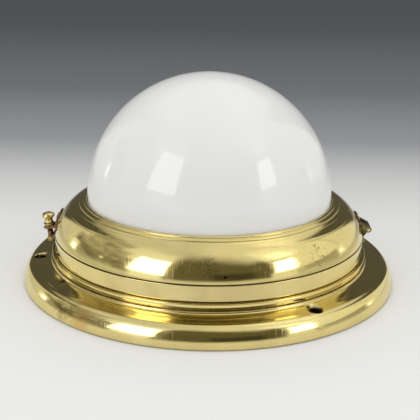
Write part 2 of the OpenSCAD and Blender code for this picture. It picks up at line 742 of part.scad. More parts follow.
module hinge_leaf_bezel() {
  k = [hinge_x, hinge_z];
  // direction that the wedge's flat outer face looks in
  face_a = 62;
  arm_w = hinge_w / 2 - knuckle_y - hinge_gap / 2;
  color("darkgoldenrod") difference() {
    union() {
      bezel_patch(-bezel_wall / 2, leaf_t, z_foot + 1.6, leaf_top, hinge_w - 0.8, 1);
      for (s = [-1, 1]) translate([0, s * (hinge_w - arm_w) / 2, 0]) rotate([90, 0, 0])
        linear_extrude(arm_w, center = true) polygon(concat(
          arc(k, knuckle_r, knuckle_r, -90, face_a, 16),
          [[bezel_at(wedge_top) + 0.3, wedge_top], [mouth_r, wedge_top], [mouth_r, k[1] - knuckle_r]]
        ));
    }
    bezel_envelope();
    translate([hinge_x, 0, hinge_z]) rotate([90, 0, 0])
      cylinder(r = hinge_pin_r + turning_gap, h = hinge_w + 2 * cut, center = true);
    bezel_rivet_holes(leaf_rivet_z, hinge_rivet_y, 1);
  }
}

module hinge_rivets_bezel() {
  color("goldenrod") for (s = [-1, 1]) on_bezel(leaf_rivet_z, s * hinge_rivet_y, 1)
    translate([0, 0, leaf_t]) rivet(leaf_t + bezel_wall + 0.3);
}

// the fork from above: a plate with a round end and a slot that opens outwards, -x
module fork_plan() {
  slot = stem_r + slot_gap;
  open_a = asin(slot / fork_r);
  polygon(concat(
    [[fork_in, fork_r]], arc([0, 0], fork_r, fork_r, 90, 180 - open_a, 12),
    arc([0, 0], slot, slot, 90, -90, 16),
    arc([0, 0], fork_r, fork_r, 180 + open_a, 270, 12), [[fork_in, -fork_r]]
  ));
}

// the fork from the side: its outer half falls away along the washer's path
module fork_side() {
  polygon(concat(
    [[-2 * fork_r, seat_w - fork_t], [fork_in, seat_w - fork_t], [fork_in, seat_w]],
    [for (i = [0:8]) let (u = 1.1 * fork_r * i / 8) [-u, sqrt(seat_w * seat_w - u * u)]],
    [[-2 * fork_r, seat_w - fork_r * fork_r / seat_w]]
  ));
}

module fork_lug() {
  color("darkgoldenrod") difference() {
    union() {
      bezel_patch(-bezel_wall / 2, lug_t, z_foot + 0.2, lug_top, fork_w + 1.4, -1);
      translate([bolt_x, 0, bolt_z]) rotate([0, -lean, 0]) intersection() {
        rotate([90, 0, 0]) linear_extrude(2 * fork_w, center = true) fork_side();
        linear_extrude(3 * seat_w) fork_plan();
      }
    }
    bezel_envelope();
    translate([0, 0, z_band]) cylinder(r = band_r + 0.4, h = z_foot + 0.1 - z_band);
    bezel_rivet_holes(lug_rivet_z, lug_rivet_y, -1);
  }
}

module lug_rivets() {
  color("goldenrod") for (s = [-1, 1]) on_bezel(lug_rivet_z, s * lug_rivet_y, -1)
    translate([0, 0, lug_t]) rivet(lug_t + bezel_wall + 0.15);
}

// puts a piece in the bolt's own frame
module on_bolt() {
  translate([bolt_x, 0, bolt_z]) rotate([0, -lean, 0]) children();
}

module swing_bolt() {
  color("goldenrod") on_bolt() difference() {
    union() {
      rotate([90, 0, 0]) cylinder(r = eye_r, h = eye_w, center = true);
      cylinder(r = stem_r, h = stem_l - 0.5);
      translate([0, 0, stem_l - 0.5]) cylinder(r1 = stem_r, r2 = stem_r - 0.5, h = 0.5);
    }
    rotate([90, 0, 0]) cylinder(r = pivot_r + turning_gap, h = eye_w + 2 * cut, center = true);
  }
}

module nut_washer() {
  color("gold") on_bolt() translate([0, 0, washer_w]) difference() {
    cylinder(r = washer_r, h = washer_t);
    translate([0, 0, -cut]) cylinder(r = stem_r + 0.25, h = washer_t + 2 * cut);
  }
}

module thumb_nut() {
  neck = nut_r * 0.63;
  brim = nut_h * 0.74;
  color("gold") on_bolt() translate([0, 0, nut_w]) turned(concat(
    [[nut_bore, 0], [neck - 0.3, 0], [neck, 0.3], [neck, nut_h * 0.28], [neck - 0.4, nut_h * 0.31],
     [neck - 0.4, nut_h * 0.35], [neck + 0.3, nut_h * 0.38], [nut_r - 0.4, nut_h * 0.6],
     [nut_r, nut_h * 0.66], [nut_r, brim]],
    arc([0, brim], nut_r - 0.3, nut_h - brim, 15, 90, 8),
    [[0, bore_depth], [nut_bore, bore_depth]]
  ));
}

module bulb_glass() {
  r0 = cap_r - 0.5;
  blend = 12;
  z0 = cap_top - 4;
  // outer skin: straight neck, a half-cosine swell, then the round end
  function skin(t) = concat(
    [[r0 - t, z0], [r0 - t, cap_top + 4]],
    [for (i = [1:blend - 1]) let (u = i / blend)
      [r0 - t + (bulb_r * cos(25) - r0) * (1 - cos(180 * u)) / 2,
       cap_top + 4 + (bulb_c - bulb_r * sin(25) - cap_top - 4) * u]],
    arc([0, bulb_c], bulb_r - t, bulb_r - t, -25, 90, 20)
  );
  color("gainsboro") turned(concat(skin(0), reversed(skin(bulb_wall))));
}

module bulb_cap() {
  t = 0.4;
  z0 = cap_z + thread_lead;
  z1 = z0 + thread_turns * cap_pitch + 1;
  color("silver") turned(concat(
    [[cap_r - thread_depth, cap_z]], thread_line(cap_r, z0),
    [[cap_r, z1], [cap_r, cap_top], [cap_r - t, cap_top], [cap_r - t, z1]],
    reversed(thread_line(cap_r - t, z0)),
    [[cap_r - thread_depth - t, cap_z]]
  ));
}

module bulb_insulator() {
  color("black") turned([[0, bulb_z + 1.2], [4.4, bulb_z + 1.2], [cap_r - 3.2, cap_z - 0.2],
    [cap_r - thread_depth - 0.5, cap_z], [cap_r - thread_depth - 0.5, cap_z + 2], [0, cap_z + 2]]);
}

module bulb_contact() {
  color("silver") translate([0, 0, bulb_z]) cylinder(r1 = 3.2, r2 = 4.2, h = 1.15);
}

module filament() {
  stem_top = bulb_c - 22;
  color("lightgray") {
    translate([0, 0, cap_z + 2]) cylinder(r = 3, h = stem_top - cap_z - 2);
    for (a = [0, 180]) rotate([0, 0, a])
      swept([[1.5, 0, stem_top - 2], [2.5, 0, stem_top + 4], [7, 0, stem_top + 14], [11, 0, stem_top + 20],
             [11, 0, stem_top + 24]], 0.4, [0, 1, 0]);
    swept([for (i = [0:24]) [11 * cos(7.5 * i), 11 * sin(7.5 * i), stem_top + 23]], 0.6);
  }
}

base_flange();
drum();
back_plate();
plate_screws();
plate_nuts();
cable_grommet();
lampholder_body();
lampholder_shell();
centre_contact();
lampholder_screws();
holder_terminals();
terminal_block();
terminal_inserts();
terminal_screws();
block_screw();
live_lead();
neutral_lead();
earth_screw();
hinge_leaf_base();
hinge_rivets_base();
hinge_pin();
bolt_bracket();
bracket_rivets();
pivot_pin();
bezel();
glass_dome();
glass_gasket();
glass_ring();
ring_lugs();
ring_screws();
bezel_seal();
hinge_leaf_bezel();
hinge_rivets_bezel();
fork_lug();
lug_rivets();
swing_bolt();
nut_washer();
thumb_nut();
bulb_glass();
bulb_cap();
bulb_insulator();
bulb_contact();
filament();
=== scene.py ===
"""Looks of the round brass ceiling lamp with an opal globe in a hinged bezel.

Lengths below are in millimetres and angles in degrees, unless a line says otherwise. The lamp stands on
its mounting flange with the globe up: z = 0 is the plane of the ceiling, the hinge is on +x, the swing
bolt on -x, and the photograph's camera looks along +y.
"""

import bpy
import numpy as np
from bpy.props import FloatProperty, FloatVectorProperty, IntProperty, PointerProperty
from mathutils import Matrix, Vector


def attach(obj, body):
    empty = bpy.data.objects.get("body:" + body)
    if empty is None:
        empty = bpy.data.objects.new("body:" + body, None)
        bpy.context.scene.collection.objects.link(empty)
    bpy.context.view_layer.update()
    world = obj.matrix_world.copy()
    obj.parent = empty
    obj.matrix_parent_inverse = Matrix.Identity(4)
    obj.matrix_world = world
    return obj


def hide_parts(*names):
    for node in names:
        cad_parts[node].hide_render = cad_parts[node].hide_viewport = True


bl_info = {
    "name": "Brass ceiling lamp",
    "version": (1, 0, 0),
    "blender": (4, 5, 0),
    "location": "3D View > Sidebar > Lamp",
    "description": "Builds the looks of a round brass ceiling lamp with an opal globe",
    "category": "Object",
}

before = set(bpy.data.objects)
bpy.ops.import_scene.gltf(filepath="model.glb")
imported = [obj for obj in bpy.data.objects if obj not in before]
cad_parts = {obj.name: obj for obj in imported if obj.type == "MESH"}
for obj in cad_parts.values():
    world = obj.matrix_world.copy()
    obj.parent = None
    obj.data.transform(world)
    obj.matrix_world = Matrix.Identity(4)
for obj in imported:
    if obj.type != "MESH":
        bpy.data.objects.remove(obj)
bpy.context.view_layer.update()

MM = 0.001
# points round a full turn of the large turned pieces: one a degree, so that the holes fall on them
TURN = 360

# flange: its slope is a large circle (LOW) and a small one above it (TOP), then the cove at the drum's foot
BASE_R = 152.95
RIM_H = 1.2
LOW_R = 19.0
LOW_END = 36.0
TOP_R = 8.8
LOW_C = (BASE_R - LOW_R, RIM_H)
CREST_C = (LOW_C[0] + (LOW_R - TOP_R) * np.cos(np.radians(LOW_END)),
           RIM_H + (LOW_R - TOP_R) * np.sin(np.radians(LOW_END)))
COVE_C = (131.6, 19.3)
COVE_R = 1.6
LEDGE_Z = 19.6
LEDGE_IN = 114.6
SHEET = 1.6

# its mounting holes, and the window of the grid that is left out round each
HOLE_ANGLES = (-55.5, 64.5, 184.5)
HOLE_RING = 140.0
HOLE_Z = 16.15
HOLE_R = 4.7
SINK_R = 6.3
SINK_DROP = 1.12
SINK_MOUTH = 7.7
WINDOW_COLUMNS = 9
WINDOW_END = 41.4
WINDOW_IN = 131.4

# drum
BAND_R = 127.2
DRUM_TOP = 38.2
DRUM_IN = 125.6

# bezel: centre and radius of its round section, and its mouth
BEZEL_C = (92.6, 33.2)
BEZEL_R = 34.75
BEZEL_WALL = 1.5
BEZEL_FOOT = 38.95
BEZEL_BACK_TOP = 65.3
MOUTH_Z = 66.9
BEAD_C = (101.36, 66.15)
BEAD_R = 0.9
# its turned grooves: radius, width, and share of the depth that the settings give
GROOVES = ((103.3, 0.28, 1.2), (107.2, 0.5, 1.3), (110.2, 0.2, 0.28), (115.4, 0.2, 0.1))

# globe
GLOBE_R = 100.0
GLOBE_WALL = 3.0
GLOBE_Z = 69.0
GLOBE_FOOT_R = 106.0
GLOBE_FOOT_Z = 57.5
GLOBE_FOOT_TOP = 61.5

# swing bolt: pivot, outward lean, and what sits on its stem
BOLT_AT = (-131.8, 0.0, 29.0)
BOLT_LEAN = 5.5
STEM_R = 2.4
STEM_L = 20.05
THREAD_Z = 4.8
EYE_R = 2.6
EYE_W = 5.0
EYE_BORE = 1.56
NUT_W = 12.853
NUT_R = 5.4
NUT_H = 9.2
NUT_BORE = 2.48
NUT_BORE_DEPTH = 7.6

# lampholder and bulb
CAP_R = 13.1
CAP_Z = 37.0
CAP_TOP = 60.4
ROUND_DEPTH = 1.0
ROUND_TURNS = 4
ROUND_LEAD = 0.6
SHELL_GAP = 0.35
SHELL_T = 0.5
SOCKET_FLOOR = 31.15
SOCKET_HOLE = 6.0
BULB_C = 111.7
BULB_R = 30.0
BULB_WALL = 0.9
SWELL_END = 25.0
BULB_STEM = (CAP_Z + 2, BULB_C - 22)
ARM_OUT = 11.0

# leads, from the terminal block to the lampholder: the second one runs round the holder's foot
LIVE_PATH = ((-44, 7.5, 27.5), (-40.5, 7.5, 27.5), (-37.5, 7.5, 27.5), (-34.5, 6.8, 28.4), (-31, 4.4, 29.55),
             (-28, 1.6, 30.45), (-26.9, 0.6, 30.45))
NEUTRAL_START = ((-44, -7.5, 27.5), (-41, -7.5, 27.5), (-39, -7.5, 27.5), (-37, -8.1, 26.3),
                 (-35.2, -9.7, 24.5), (-33.8, -12.1, 23.4))
NEUTRAL_BEND = (30.5, 22.9)
NEUTRAL_END = ((29.84, -5.82, 24.3), (30.1, -2, 27.1), (29.2, -0.4, 29.05), (27.3, 0, 30.45), (26.9, 0, 30.45))
LEAD_CLEARANCE = 0.12


# ---- surfaces


def arc(centre, rx, start, end, count, rz=None):
    """Arc in the (r, z) plane: centre + (rx cos t, rz sin t) for count angles t from start to end. It is round
    where rz isn't given."""
    t = np.radians(np.linspace(start, end, count))
    return np.stack([centre[0] + rx * np.cos(t), centre[1] + (rz or rx) * np.sin(t)], axis=1)


def line(a, b, count):
    """Straight line in the (r, z) plane: a + u (b - a) for count even steps of u from 0 to 1."""
    u = np.linspace(0, 1, count)[:, None]
    return np.asarray(a, float) * (1 - u) + np.asarray(b, float) * u


def eased(corners, radius, steps=5):
    """A polygon with soft corners. Each corner p becomes the parabola (1-t)^2 a + 2t(1-t) p + t^2 b, where a
    and b lie on its two sides, radius away from p or at most 45% of the side."""
    p = np.asarray(corners, float)
    sides = [np.roll(p, way, axis=0) - p for way in (1, -1)]
    lengths = [np.linalg.norm(side, axis=1, keepdims=True) for side in sides]
    a, b = (p + side / long * np.minimum(radius, 0.45 * long) for side, long in zip(sides, lengths))
    t = np.linspace(0, 1, steps)[None, :, None]
    curve = (1 - t) ** 2 * a[:, None] + 2 * t * (1 - t) * p[:, None] + t**2 * b[:, None]
    return curve.reshape(-1, 2)


def angles(count):
    """Even angles round a full turn, in radians."""
    return np.radians(np.arange(count) * 360.0 / count)


def lattice(rows, columns, joined_rows=False):
    """Four-sided faces of a grid whose columns run round in a ring: face (i, j) joins the points (i, j),
    (i, j+1), (i+1, j+1) and (i+1, j), with point (i, j) at number i * columns + j."""
    i = np.arange(rows if joined_rows else rows - 1)[:, None]
    j = np.arange(columns)[None, :]
    i2, j2 = (i + 1) % rows, (j + 1) % columns
    return np.stack([i * columns + j, i * columns + j2, i2 * columns + j2, i2 * columns + j], -1).reshape(-1, 4)


def end_fans(rows, columns):
    """Triangles from a grid's first and last ring to two more points, numbered next after the grid's own."""
    j, last, pole = np.arange(columns), (rows - 1) * columns, rows * columns
    return np.concatenate([
        np.stack([np.full(columns, pole), (j + 1) % columns, j], 1),
        np.stack([np.full(columns, pole + 1), last + j, last + (j + 1) % columns], 1),
    ])


def swept(r, z, columns):
    """Turned grid: points (r cos a, r sin a, z) for even angles a, where r and z are given for each row or for
    each point of each row."""
    a = angles(columns)
    r, z, _ = np.broadcast_arrays(r, z, a[None])
    return np.stack([r * np.cos(a), r * np.sin(a), z], -1).reshape(-1, 3)


def turned(section, columns=TURN):
    """Closed turned surface: the section's points (r, z), drawn anticlockwise, are carried round the z axis as
    (r cos a, r sin a, z) for even angles a. A section that starts and ends on the axis gets pointed poles."""
    r, z = np.asarray(section, float).T[..., None]
    if r[0] > 1e-6 or r[-1] > 1e-6:
        return swept(r, z, columns), lattice(len(r), columns, True), ()
    poles = [[0, 0, z[0, 0]], [0, 0, z[-1, 0]]]
    rows = len(r) - 2
    points = np.concatenate([swept(r[1:-1], z[1:-1], columns), poles])
    return points, lattice(rows, columns), end_fans(rows, columns)


def piped(path, radius, sides):
    """Round tube along a path of points p(s). Each ring is p + radius (cos a n + sin a b), where n and b are
    two directions square to the path's tangent, carried along it by taking the last n and making it square
    again. Gives points, quads, end fans, and each point's (length along the path, turn) for its UV map."""
    p = np.asarray(path, float)
    tangent = np.gradient(p, axis=0)
    tangent /= np.linalg.norm(tangent, axis=1, keepdims=True)
    normal = np.zeros_like(p)
    last = np.cross(tangent[0], [0.13, 0.21, 1.0])
    for k in range(len(p)):
        last = last - tangent[k] * np.dot(last, tangent[k])
        last = last / np.linalg.norm(last)
        normal[k] = last
    a = angles(sides)[:, None]
    ring = np.cos(a) * normal[:, None] + np.sin(a) * np.cross(tangent, normal)[:, None]
    points = np.concatenate([(p[:, None] + radius * ring).reshape(-1, 3), p[:1], p[-1:]])
    along = np.concatenate([[0], np.cumsum(np.linalg.norm(np.diff(p, axis=0), axis=1))])
    uv = np.stack([np.repeat(along, sides), np.tile(np.arange(sides) / sides, len(p))], 1)
    return points, lattice(len(p), sides), end_fans(len(p), sides), np.concatenate([uv, np.zeros((2, 2))])


def smooth_path(corners, steps):
    """Curve through points p[i]: between p1 and p2 it is half of 2 p1 + (p2 - p0) t
    + (2 p0 - 5 p1 + 4 p2 - p3) t^2 + (3 p1 - p0 - 3 p2 + p3) t^3, with p0 and p3 their neighbours."""
    p = np.asarray(corners, float)
    a = np.concatenate([p[:1], p[:-2]])[:, None]
    b, c = p[:-1][:, None], p[1:][:, None]
    d = np.concatenate([p[2:], p[-1:]])[:, None]
    t = (np.arange(steps) / steps)[None, :, None]
    run = 0.5 * (2 * b + (c - a) * t + (2 * a - 5 * b + 4 * c - d) * t**2 + (3 * b - a - 3 * c + d) * t**3)
    return np.concatenate([run.reshape(-1, 3), p[-1:]])


def soft_step(x, low, high):
    """0 below low, 1 above high, and 3u^2 - 2u^3 between them, with u = (x - low) / (high - low)."""
    u = np.clip((x - low) / (high - low), 0, 1)
    return u * u * (3 - 2 * u)


def soft_min(a, b, width):
    """The lower of a and b, with their meeting rounded over width: min(a, b) - width h^3 / 6, where
    h = max(width - |a - b|, 0) / width."""
    h = np.maximum(width - np.abs(a - b), 0) / width
    return np.minimum(a, b) - h**3 * width / 6


def put(name, data):
    """Makes an object of data and puts it into the scene."""
    thing = bpy.data.objects.new(name, data)
    bpy.context.scene.collection.objects.link(thing)
    return thing


def make_piece(name, shape, material, body, stands_for, placed=None, sharp=35.0):
    """Puts a shape, which is points (in mm), quads, fans and sometimes a UV map, into a mesh object at the
    origin, parents it to its body's empty and hides the CAD parts that it stands for."""
    points, quads, fans, *uv = shape
    points = np.asarray(points, float) * MM
    if placed is not None:
        points = points @ np.array(placed.to_3x3()).T + np.array(placed.translation)
    quads = np.asarray(quads, np.int32).reshape(-1, 4)
    fans = np.asarray(fans, np.int32).reshape(-1, 3)
    corners = np.concatenate([quads.ravel(), fans.ravel()])
    starts = np.concatenate([np.arange(len(quads)) * 4, len(quads) * 4 + np.arange(len(fans)) * 3])
    mesh = bpy.data.meshes.new(name)
    mesh.vertices.add(len(points))
    mesh.vertices.foreach_set("co", points.astype(np.float32).ravel())
    mesh.loops.add(len(corners))
    mesh.loops.foreach_set("vertex_index", corners.astype(np.int32))
    mesh.polygons.add(len(starts))
    mesh.polygons.foreach_set("loop_start", starts.astype(np.int32))
    for layout in uv:
        layer = mesh.uv_layers.new(name="UVMap")
        layer.data.foreach_set("uv", layout[corners].astype(np.float32).ravel())
    mesh.update(calc_edges=True)
    if mesh.validate():
        raise RuntimeError(f"{name} has faces that Blender had to mend")
    mesh.shade_smooth()
    mesh.set_sharp_from_angle(angle=np.radians(sharp))
    mesh.materials.append(material)
    piece = put(name, mesh)
    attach(piece, body)
    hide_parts(*stands_for)


# ---- sections


def slow_rise(u, e=0.12):
    """0 at u = 0, level there, and 1 at u = 1: (sqrt(u^2 + e^2) - e) / (sqrt(1 + e^2) - e)."""
    return (np.sqrt(np.clip(u, 0, None) ** 2 + e**2) - e) / (np.sqrt(1 + e**2) - e)


def flange_line(r, inset=0.0):
    """Height of the flange's sheet at radius r, inset below its skin. From the rim inwards it is a large circle
    and, from LOW_END degrees on, a small one up to the crest; then slow_rise(u) with u from 0 to 1; then the
    small circle of the cove at the drum's foot. All circles keep their centres when inset."""

    def height(centre, radius):
        return np.sqrt(np.clip(radius**2 - (r - centre[0]) ** 2, 0, None))

    joint = LOW_C[0] + (LOW_R - inset) * np.cos(np.radians(LOW_END))
    crest = CREST_C[1] + TOP_R
    rise = COVE_C[1] - COVE_R - crest
    flat = crest - inset + rise * slow_rise((CREST_C[0] - r) / (CREST_C[0] - COVE_C[0]))
    return np.select(
        [r > joint, r > CREST_C[0], r > COVE_C[0]],
        [LOW_C[1] + height(LOW_C, LOW_R - inset), CREST_C[1] + height(CREST_C, TOP_R - inset), flat],
        COVE_C[1] - height(COVE_C, COVE_R + inset))


def flange_surface():
    """The spun flange with its three countersunk mounting holes, as one closed surface.

    The section is turned about z as (r cos a, r sin a, z). A window of that grid is left out round each hole,
    on the skin and on the underside. Rings of points fill it: they run from the window's edge b to the hole's
    circle c as b + u (c - b) in plan, at the height of the skin; then down the countersink, whose height is
    the soft minimum of the skin and the cone z = (z0 - drop) + (rho - hole radius) drop / (sink radius -
    hole radius); then down the bore; and out again along the underside.
    """
    window = np.concatenate([
        arc(CREST_C, TOP_R, WINDOW_END, 90, 13)[:, 0], np.linspace(CREST_C[0], WINDOW_IN, 12)[1:]])
    slope = np.concatenate([
        line((BASE_R - 0.35, 0), (BASE_R, 0.35), 3), line((BASE_R, 0.6), (BASE_R, RIM_H - 0.2), 2),
        arc(LOW_C, LOW_R, 0, LOW_END, 24), arc(CREST_C, TOP_R, LOW_END + 2.5, WINDOW_END - 1.5, 2),
    ])
    skin = np.concatenate([
        slope, np.stack([window, flange_line(window)], 1),
        arc(COVE_C, COVE_R, 262, 182, 12)[1:], [[129.85, 19.5]],
        line((129.6, LEDGE_Z), (LEDGE_IN + 0.3, LEDGE_Z), 5),
    ])
    inner_r = LOW_R - SHEET
    under_end = np.degrees(np.arccos((window[0] - LOW_C[0]) / inner_r))
    back = window[::-1]
    foot = np.concatenate([
        line((LEDGE_IN, LEDGE_Z - 0.3), (LEDGE_IN, LEDGE_Z - SHEET + 0.3), 3),
        line((LEDGE_IN + 0.3, LEDGE_Z - SHEET), (127.6, LEDGE_Z - SHEET), 4),
        arc(COVE_C, COVE_R + SHEET, 206, 264, 6),
    ])
    section = np.concatenate([
        skin, foot, np.stack([back, flange_line(back, SHEET)], 1),
        arc(LOW_C, inner_r, under_end, 0, 14)[1:],
        line((BASE_R - SHEET, RIM_H - 0.4), (BASE_R - SHEET, 0), 3),
    ])
    window_row, under_row = len(slope), len(skin) + len(foot)
    points, quads, _ = turned(section)
    reach, steps = WINDOW_COLUMNS, len(window) - 1
    keep = np.ones((len(section), TURN), bool)
    extra, more = [points], []
    count = len(points)
    # numbers of the window's edge points, anticlockwise from its outer clockwise corner
    across, inwards = np.arange(reach), np.arange(steps)
    rim_col = np.concatenate([across, np.full(steps, reach), reach - across, np.zeros(steps, int)])
    rim_step = np.concatenate([np.zeros(reach, int), inwards, np.full(reach, steps), steps - inwards])
    # the rings: shares of the way from the window to the mouth, radii in the countersink, shares of the bore
    u = np.array([0.3, 0.58, 0.8, 1.0])[:, None, None]
    rho = np.concatenate([[7.2, 6.9], np.linspace(6.7, HOLE_R, 11)])[:, None, None]
    drop = np.array([0.15, 0.6, 1.0])[:, None]
    for angle in HOLE_ANGLES:
        first = round(angle - reach / 2) % TURN
        columns = (first + np.arange(reach)) % TURN
        keep[window_row:window_row + steps, columns] = False
        keep[under_row:under_row + steps, columns] = False
        col = (first + rim_col) % TURN
        top_edge = (window_row + rim_step) * TURN + col
        low_edge = (under_row + steps - rim_step) * TURN + col
        a = np.radians(angle)
        spin = np.array([[np.cos(a), np.sin(a)], [-np.sin(a), np.cos(a)]])
        edge = points[top_edge][:, :2] @ spin.T
        out = edge - [HOLE_RING, 0]
        ray = out / np.linalg.norm(out, axis=1, keepdims=True)
        wide_rings = edge * (1 - u) + ([HOLE_RING, 0] + SINK_MOUTH * ray) * u
        sink_rings = [HOLE_RING, 0] + rho * ray
        plan = np.concatenate([wide_rings, sink_rings])
        far = np.linalg.norm(plan, axis=2)
        from_hole = np.linalg.norm(plan - [HOLE_RING, 0], axis=2)
        cone = HOLE_Z - SINK_DROP + (from_hole - HOLE_R) * SINK_DROP / (SINK_R - HOLE_R)
        top = np.maximum(soft_min(flange_line(far), cone, 0.3), flange_line(far, SHEET) + 0.05)
        bore = np.repeat(sink_rings[-1:], 3, 0)
        bore_z = top[-1] * (1 - drop) + flange_line(np.linalg.norm(bore[0], axis=1), SHEET) * drop
        low_rings = np.concatenate([sink_rings[[8, 3]], wide_rings[::-1]])
        low_rings_z = flange_line(np.linalg.norm(low_rings, axis=2), SHEET)
        plan = np.concatenate([plan, bore, low_rings]) @ spin
        height = np.concatenate([top, bore_z, low_rings_z])
        extra.append(np.concatenate([plan, height[..., None]], axis=2).reshape(-1, 3))
        number = count + np.arange(height.size).reshape(height.shape)
        number = np.concatenate([top_edge[None], number, low_edge[None]])
        here, there = number[:-1], number[1:]
        more.append(np.stack([here, np.roll(here, -1, 1), np.roll(there, -1, 1), there], -1).reshape(-1, 4))
        count += height.size
    quads = np.concatenate([quads[keep.ravel()]] + more)
    used = np.unique(quads)
    renumber = np.zeros(count, int)
    renumber[used] = np.arange(len(used))
    return np.concatenate(extra)[used], renumber[quads], ()


def drum_section():
    """Section of the spun drum: collar with two soft edges, V groove, plain band, and the spigot inside."""
    return np.concatenate([
        [[DRUM_IN, LEDGE_Z], [128.3, LEDGE_Z], [128.55, LEDGE_Z + 0.2], [128.6, 20.35]],
        arc((128.7, 21.4), 0.8, -88, 0, 8), arc((128.7, 24.0), 0.8, 0, 90, 8),
        [[128.2, 24.8], [127.6, 24.82], [127.25, 24.9], [126.8, 25.2], [126.7, 25.4], [126.85, 25.65],
         [127.1, 25.9], [BAND_R, 26.15]],
        line((BAND_R, 26.6), (BAND_R, 37.6), 12),
        arc((BAND_R - 0.35, DRUM_TOP - 0.35), 0.35, 0, 90, 5),
        line((126.4, DRUM_TOP), (123.9, DRUM_TOP), 4),
        [[123.65, DRUM_TOP + 0.1], [123.6, DRUM_TOP + 0.4], [123.6, 41.7], [123.3, 42.0], [122.3, 42.0],
         [122.0, 41.7], [122.0, 36.9], [122.3, 36.6], [125.2, 36.6], [DRUM_IN, 36.2]],
        line((DRUM_IN, 35.0), (DRUM_IN, 20.4), 8),
    ])


def bezel_section(grooves):
    """Section of the spun bezel. The skin is a circle of radius R - g(r), where g adds a bell-shaped groove
    depth exp(-((r - r0) / width)^2) for each turned groove; it ends in the rolled bead of the mouth."""
    start = np.degrees(np.arcsin((BEZEL_FOOT + 0.25 - BEZEL_C[1]) / BEZEL_R))
    end = np.degrees(np.arcsin((MOUTH_Z - 0.3 - BEZEL_C[1]) / BEZEL_R))
    near = [np.degrees(np.arccos((r - BEZEL_C[0]) / BEZEL_R)) for r, _, _ in grooves]
    t = np.concatenate([np.linspace(start, end, 76)] + [c + np.linspace(-1.4, 1.4, 15) for c in near])
    t = np.unique(np.round(t, 3))
    t = np.radians(t[(t >= start) & (t <= end)])
    r0 = BEZEL_C[0] + BEZEL_R * np.cos(t)
    radius = BEZEL_R - sum(depth * np.exp(-((r0 - r) / width) ** 2) for r, width, depth in grooves)
    inner = BEZEL_R - BEZEL_WALL
    low, top = (np.degrees(np.arcsin((z - BEZEL_C[1]) / inner)) for z in (BEZEL_FOOT, BEZEL_BACK_TOP))
    foot_r = BEZEL_C[0] + BEZEL_R * np.cos(np.radians(start))
    return np.concatenate([
        [[foot_r - 0.75, BEZEL_FOOT], [foot_r - 0.25, BEZEL_FOOT + 0.03], [foot_r - 0.06, BEZEL_FOOT + 0.12]],
        np.stack([BEZEL_C[0] + radius * np.cos(t), BEZEL_C[1] + radius * np.sin(t)], 1),
        arc(BEAD_C, BEAD_R, 40, 235, 16), arc(BEZEL_C, inner, top, low, 40),
    ])


def globe_section():
    """Section of the opal globe: half a circle down the inside, foot ring with eased edges, short straight
    neck, then half a circle up the outside."""
    inner = GLOBE_R - GLOBE_WALL
    foot = [(inner + 0.1, GLOBE_FOOT_Z), (GLOBE_FOOT_R, GLOBE_FOOT_Z), (GLOBE_FOOT_R, GLOBE_FOOT_TOP),
            (GLOBE_R, GLOBE_FOOT_TOP)]
    return np.concatenate([
        [[0, GLOBE_Z + inner]], arc((0, GLOBE_Z), inner, 89.0, 0, 60),
        line((inner, GLOBE_Z - 1), (inner, GLOBE_FOOT_Z + 0.5), 5), [[inner + 0.15, GLOBE_FOOT_Z + 0.1]],
        eased(foot, 0.7)[5:17], arc((GLOBE_R + 0.5, GLOBE_FOOT_TOP + 0.5), 0.5, 265, 180, 5),
        line((GLOBE_R, 62.6), (GLOBE_R, GLOBE_Z - 1), 4),
        arc((0, GLOBE_Z), GLOBE_R, 0, 89.2, 90), [[0, GLOBE_Z + GLOBE_R]],
    ])


def nut_section():
    """Section of the thumb nut, from the top of its cavity on the axis: down the bore, then outside up a neck,
    a waist, and a flared cup with a brim, to a domed top."""
    neck, waist, brim = NUT_R * 0.63, NUT_R * 0.63 - 0.5, NUT_H * 0.74
    corners = [
        (NUT_BORE, 0), (neck - 0.1, 0), (neck, 0.25), (neck, NUT_H * 0.27), (waist, NUT_H * 0.31),
        (waist, NUT_H * 0.36), (neck + 0.2, NUT_H * 0.4), (neck + 0.5, NUT_H * 0.5),
        (NUT_R - 0.35, NUT_H * 0.62), (NUT_R, NUT_H * 0.66), (NUT_R, brim),
    ]
    return np.concatenate([
        [[0, NUT_BORE_DEPTH], [NUT_BORE, NUT_BORE_DEPTH]],
        line((NUT_BORE, NUT_BORE_DEPTH - 0.3), (NUT_BORE, 0.2), 6), [[NUT_BORE + 0.15, 0]],
        eased(corners, 0.22)[5:-3], arc((0, brim), NUT_R - 0.3, 14, 88, 14, NUT_H - brim), [[0, NUT_H]],
    ])


def round_thread(radius, z0, turns, pitch, depth, a, z):
    """Radius of a round lamp thread at angle a and height z: radius - depth / 2 + depth / 2 cos(2 pi (z - z0) /
    pitch - a + pi), faded in and out over a third of a turn at its two ends."""
    fade_out = soft_step(z, z0 + (turns - 1 / 3) * pitch, z0 + turns * pitch)
    fade = soft_step(z, z0, z0 + pitch / 3) * (1 - fade_out)
    wave = 0.5 - 0.5 * np.cos(2 * np.pi * (z - z0) / pitch - a)
    return radius - depth * fade * (1 - wave)


# ---- finishes
#
# Places read in a node tree, and the limits that ease() and band() get for them, are in metres here. What
# spot(), bump(), corners() and soft_edges() take is in millimetres.


class Value:
    """One output of a node. Arithmetic on it adds Math nodes to the same tree."""

    def __init__(self, graph, socket):
        self.graph, self.socket = graph, socket

    def __add__(self, other):
        return self.graph.math("ADD", self, other)

    def __sub__(self, other):
        return self.graph.math("SUBTRACT", self, other)

    def __rsub__(self, other):
        return self.graph.math("SUBTRACT", other, self)

    def __mul__(self, other):
        return self.graph.math("MULTIPLY", self, other)

    def __truediv__(self, other):
        return self.graph.math("DIVIDE", self, other)

    def __abs__(self):
        return self.graph.math("ABSOLUTE", self)


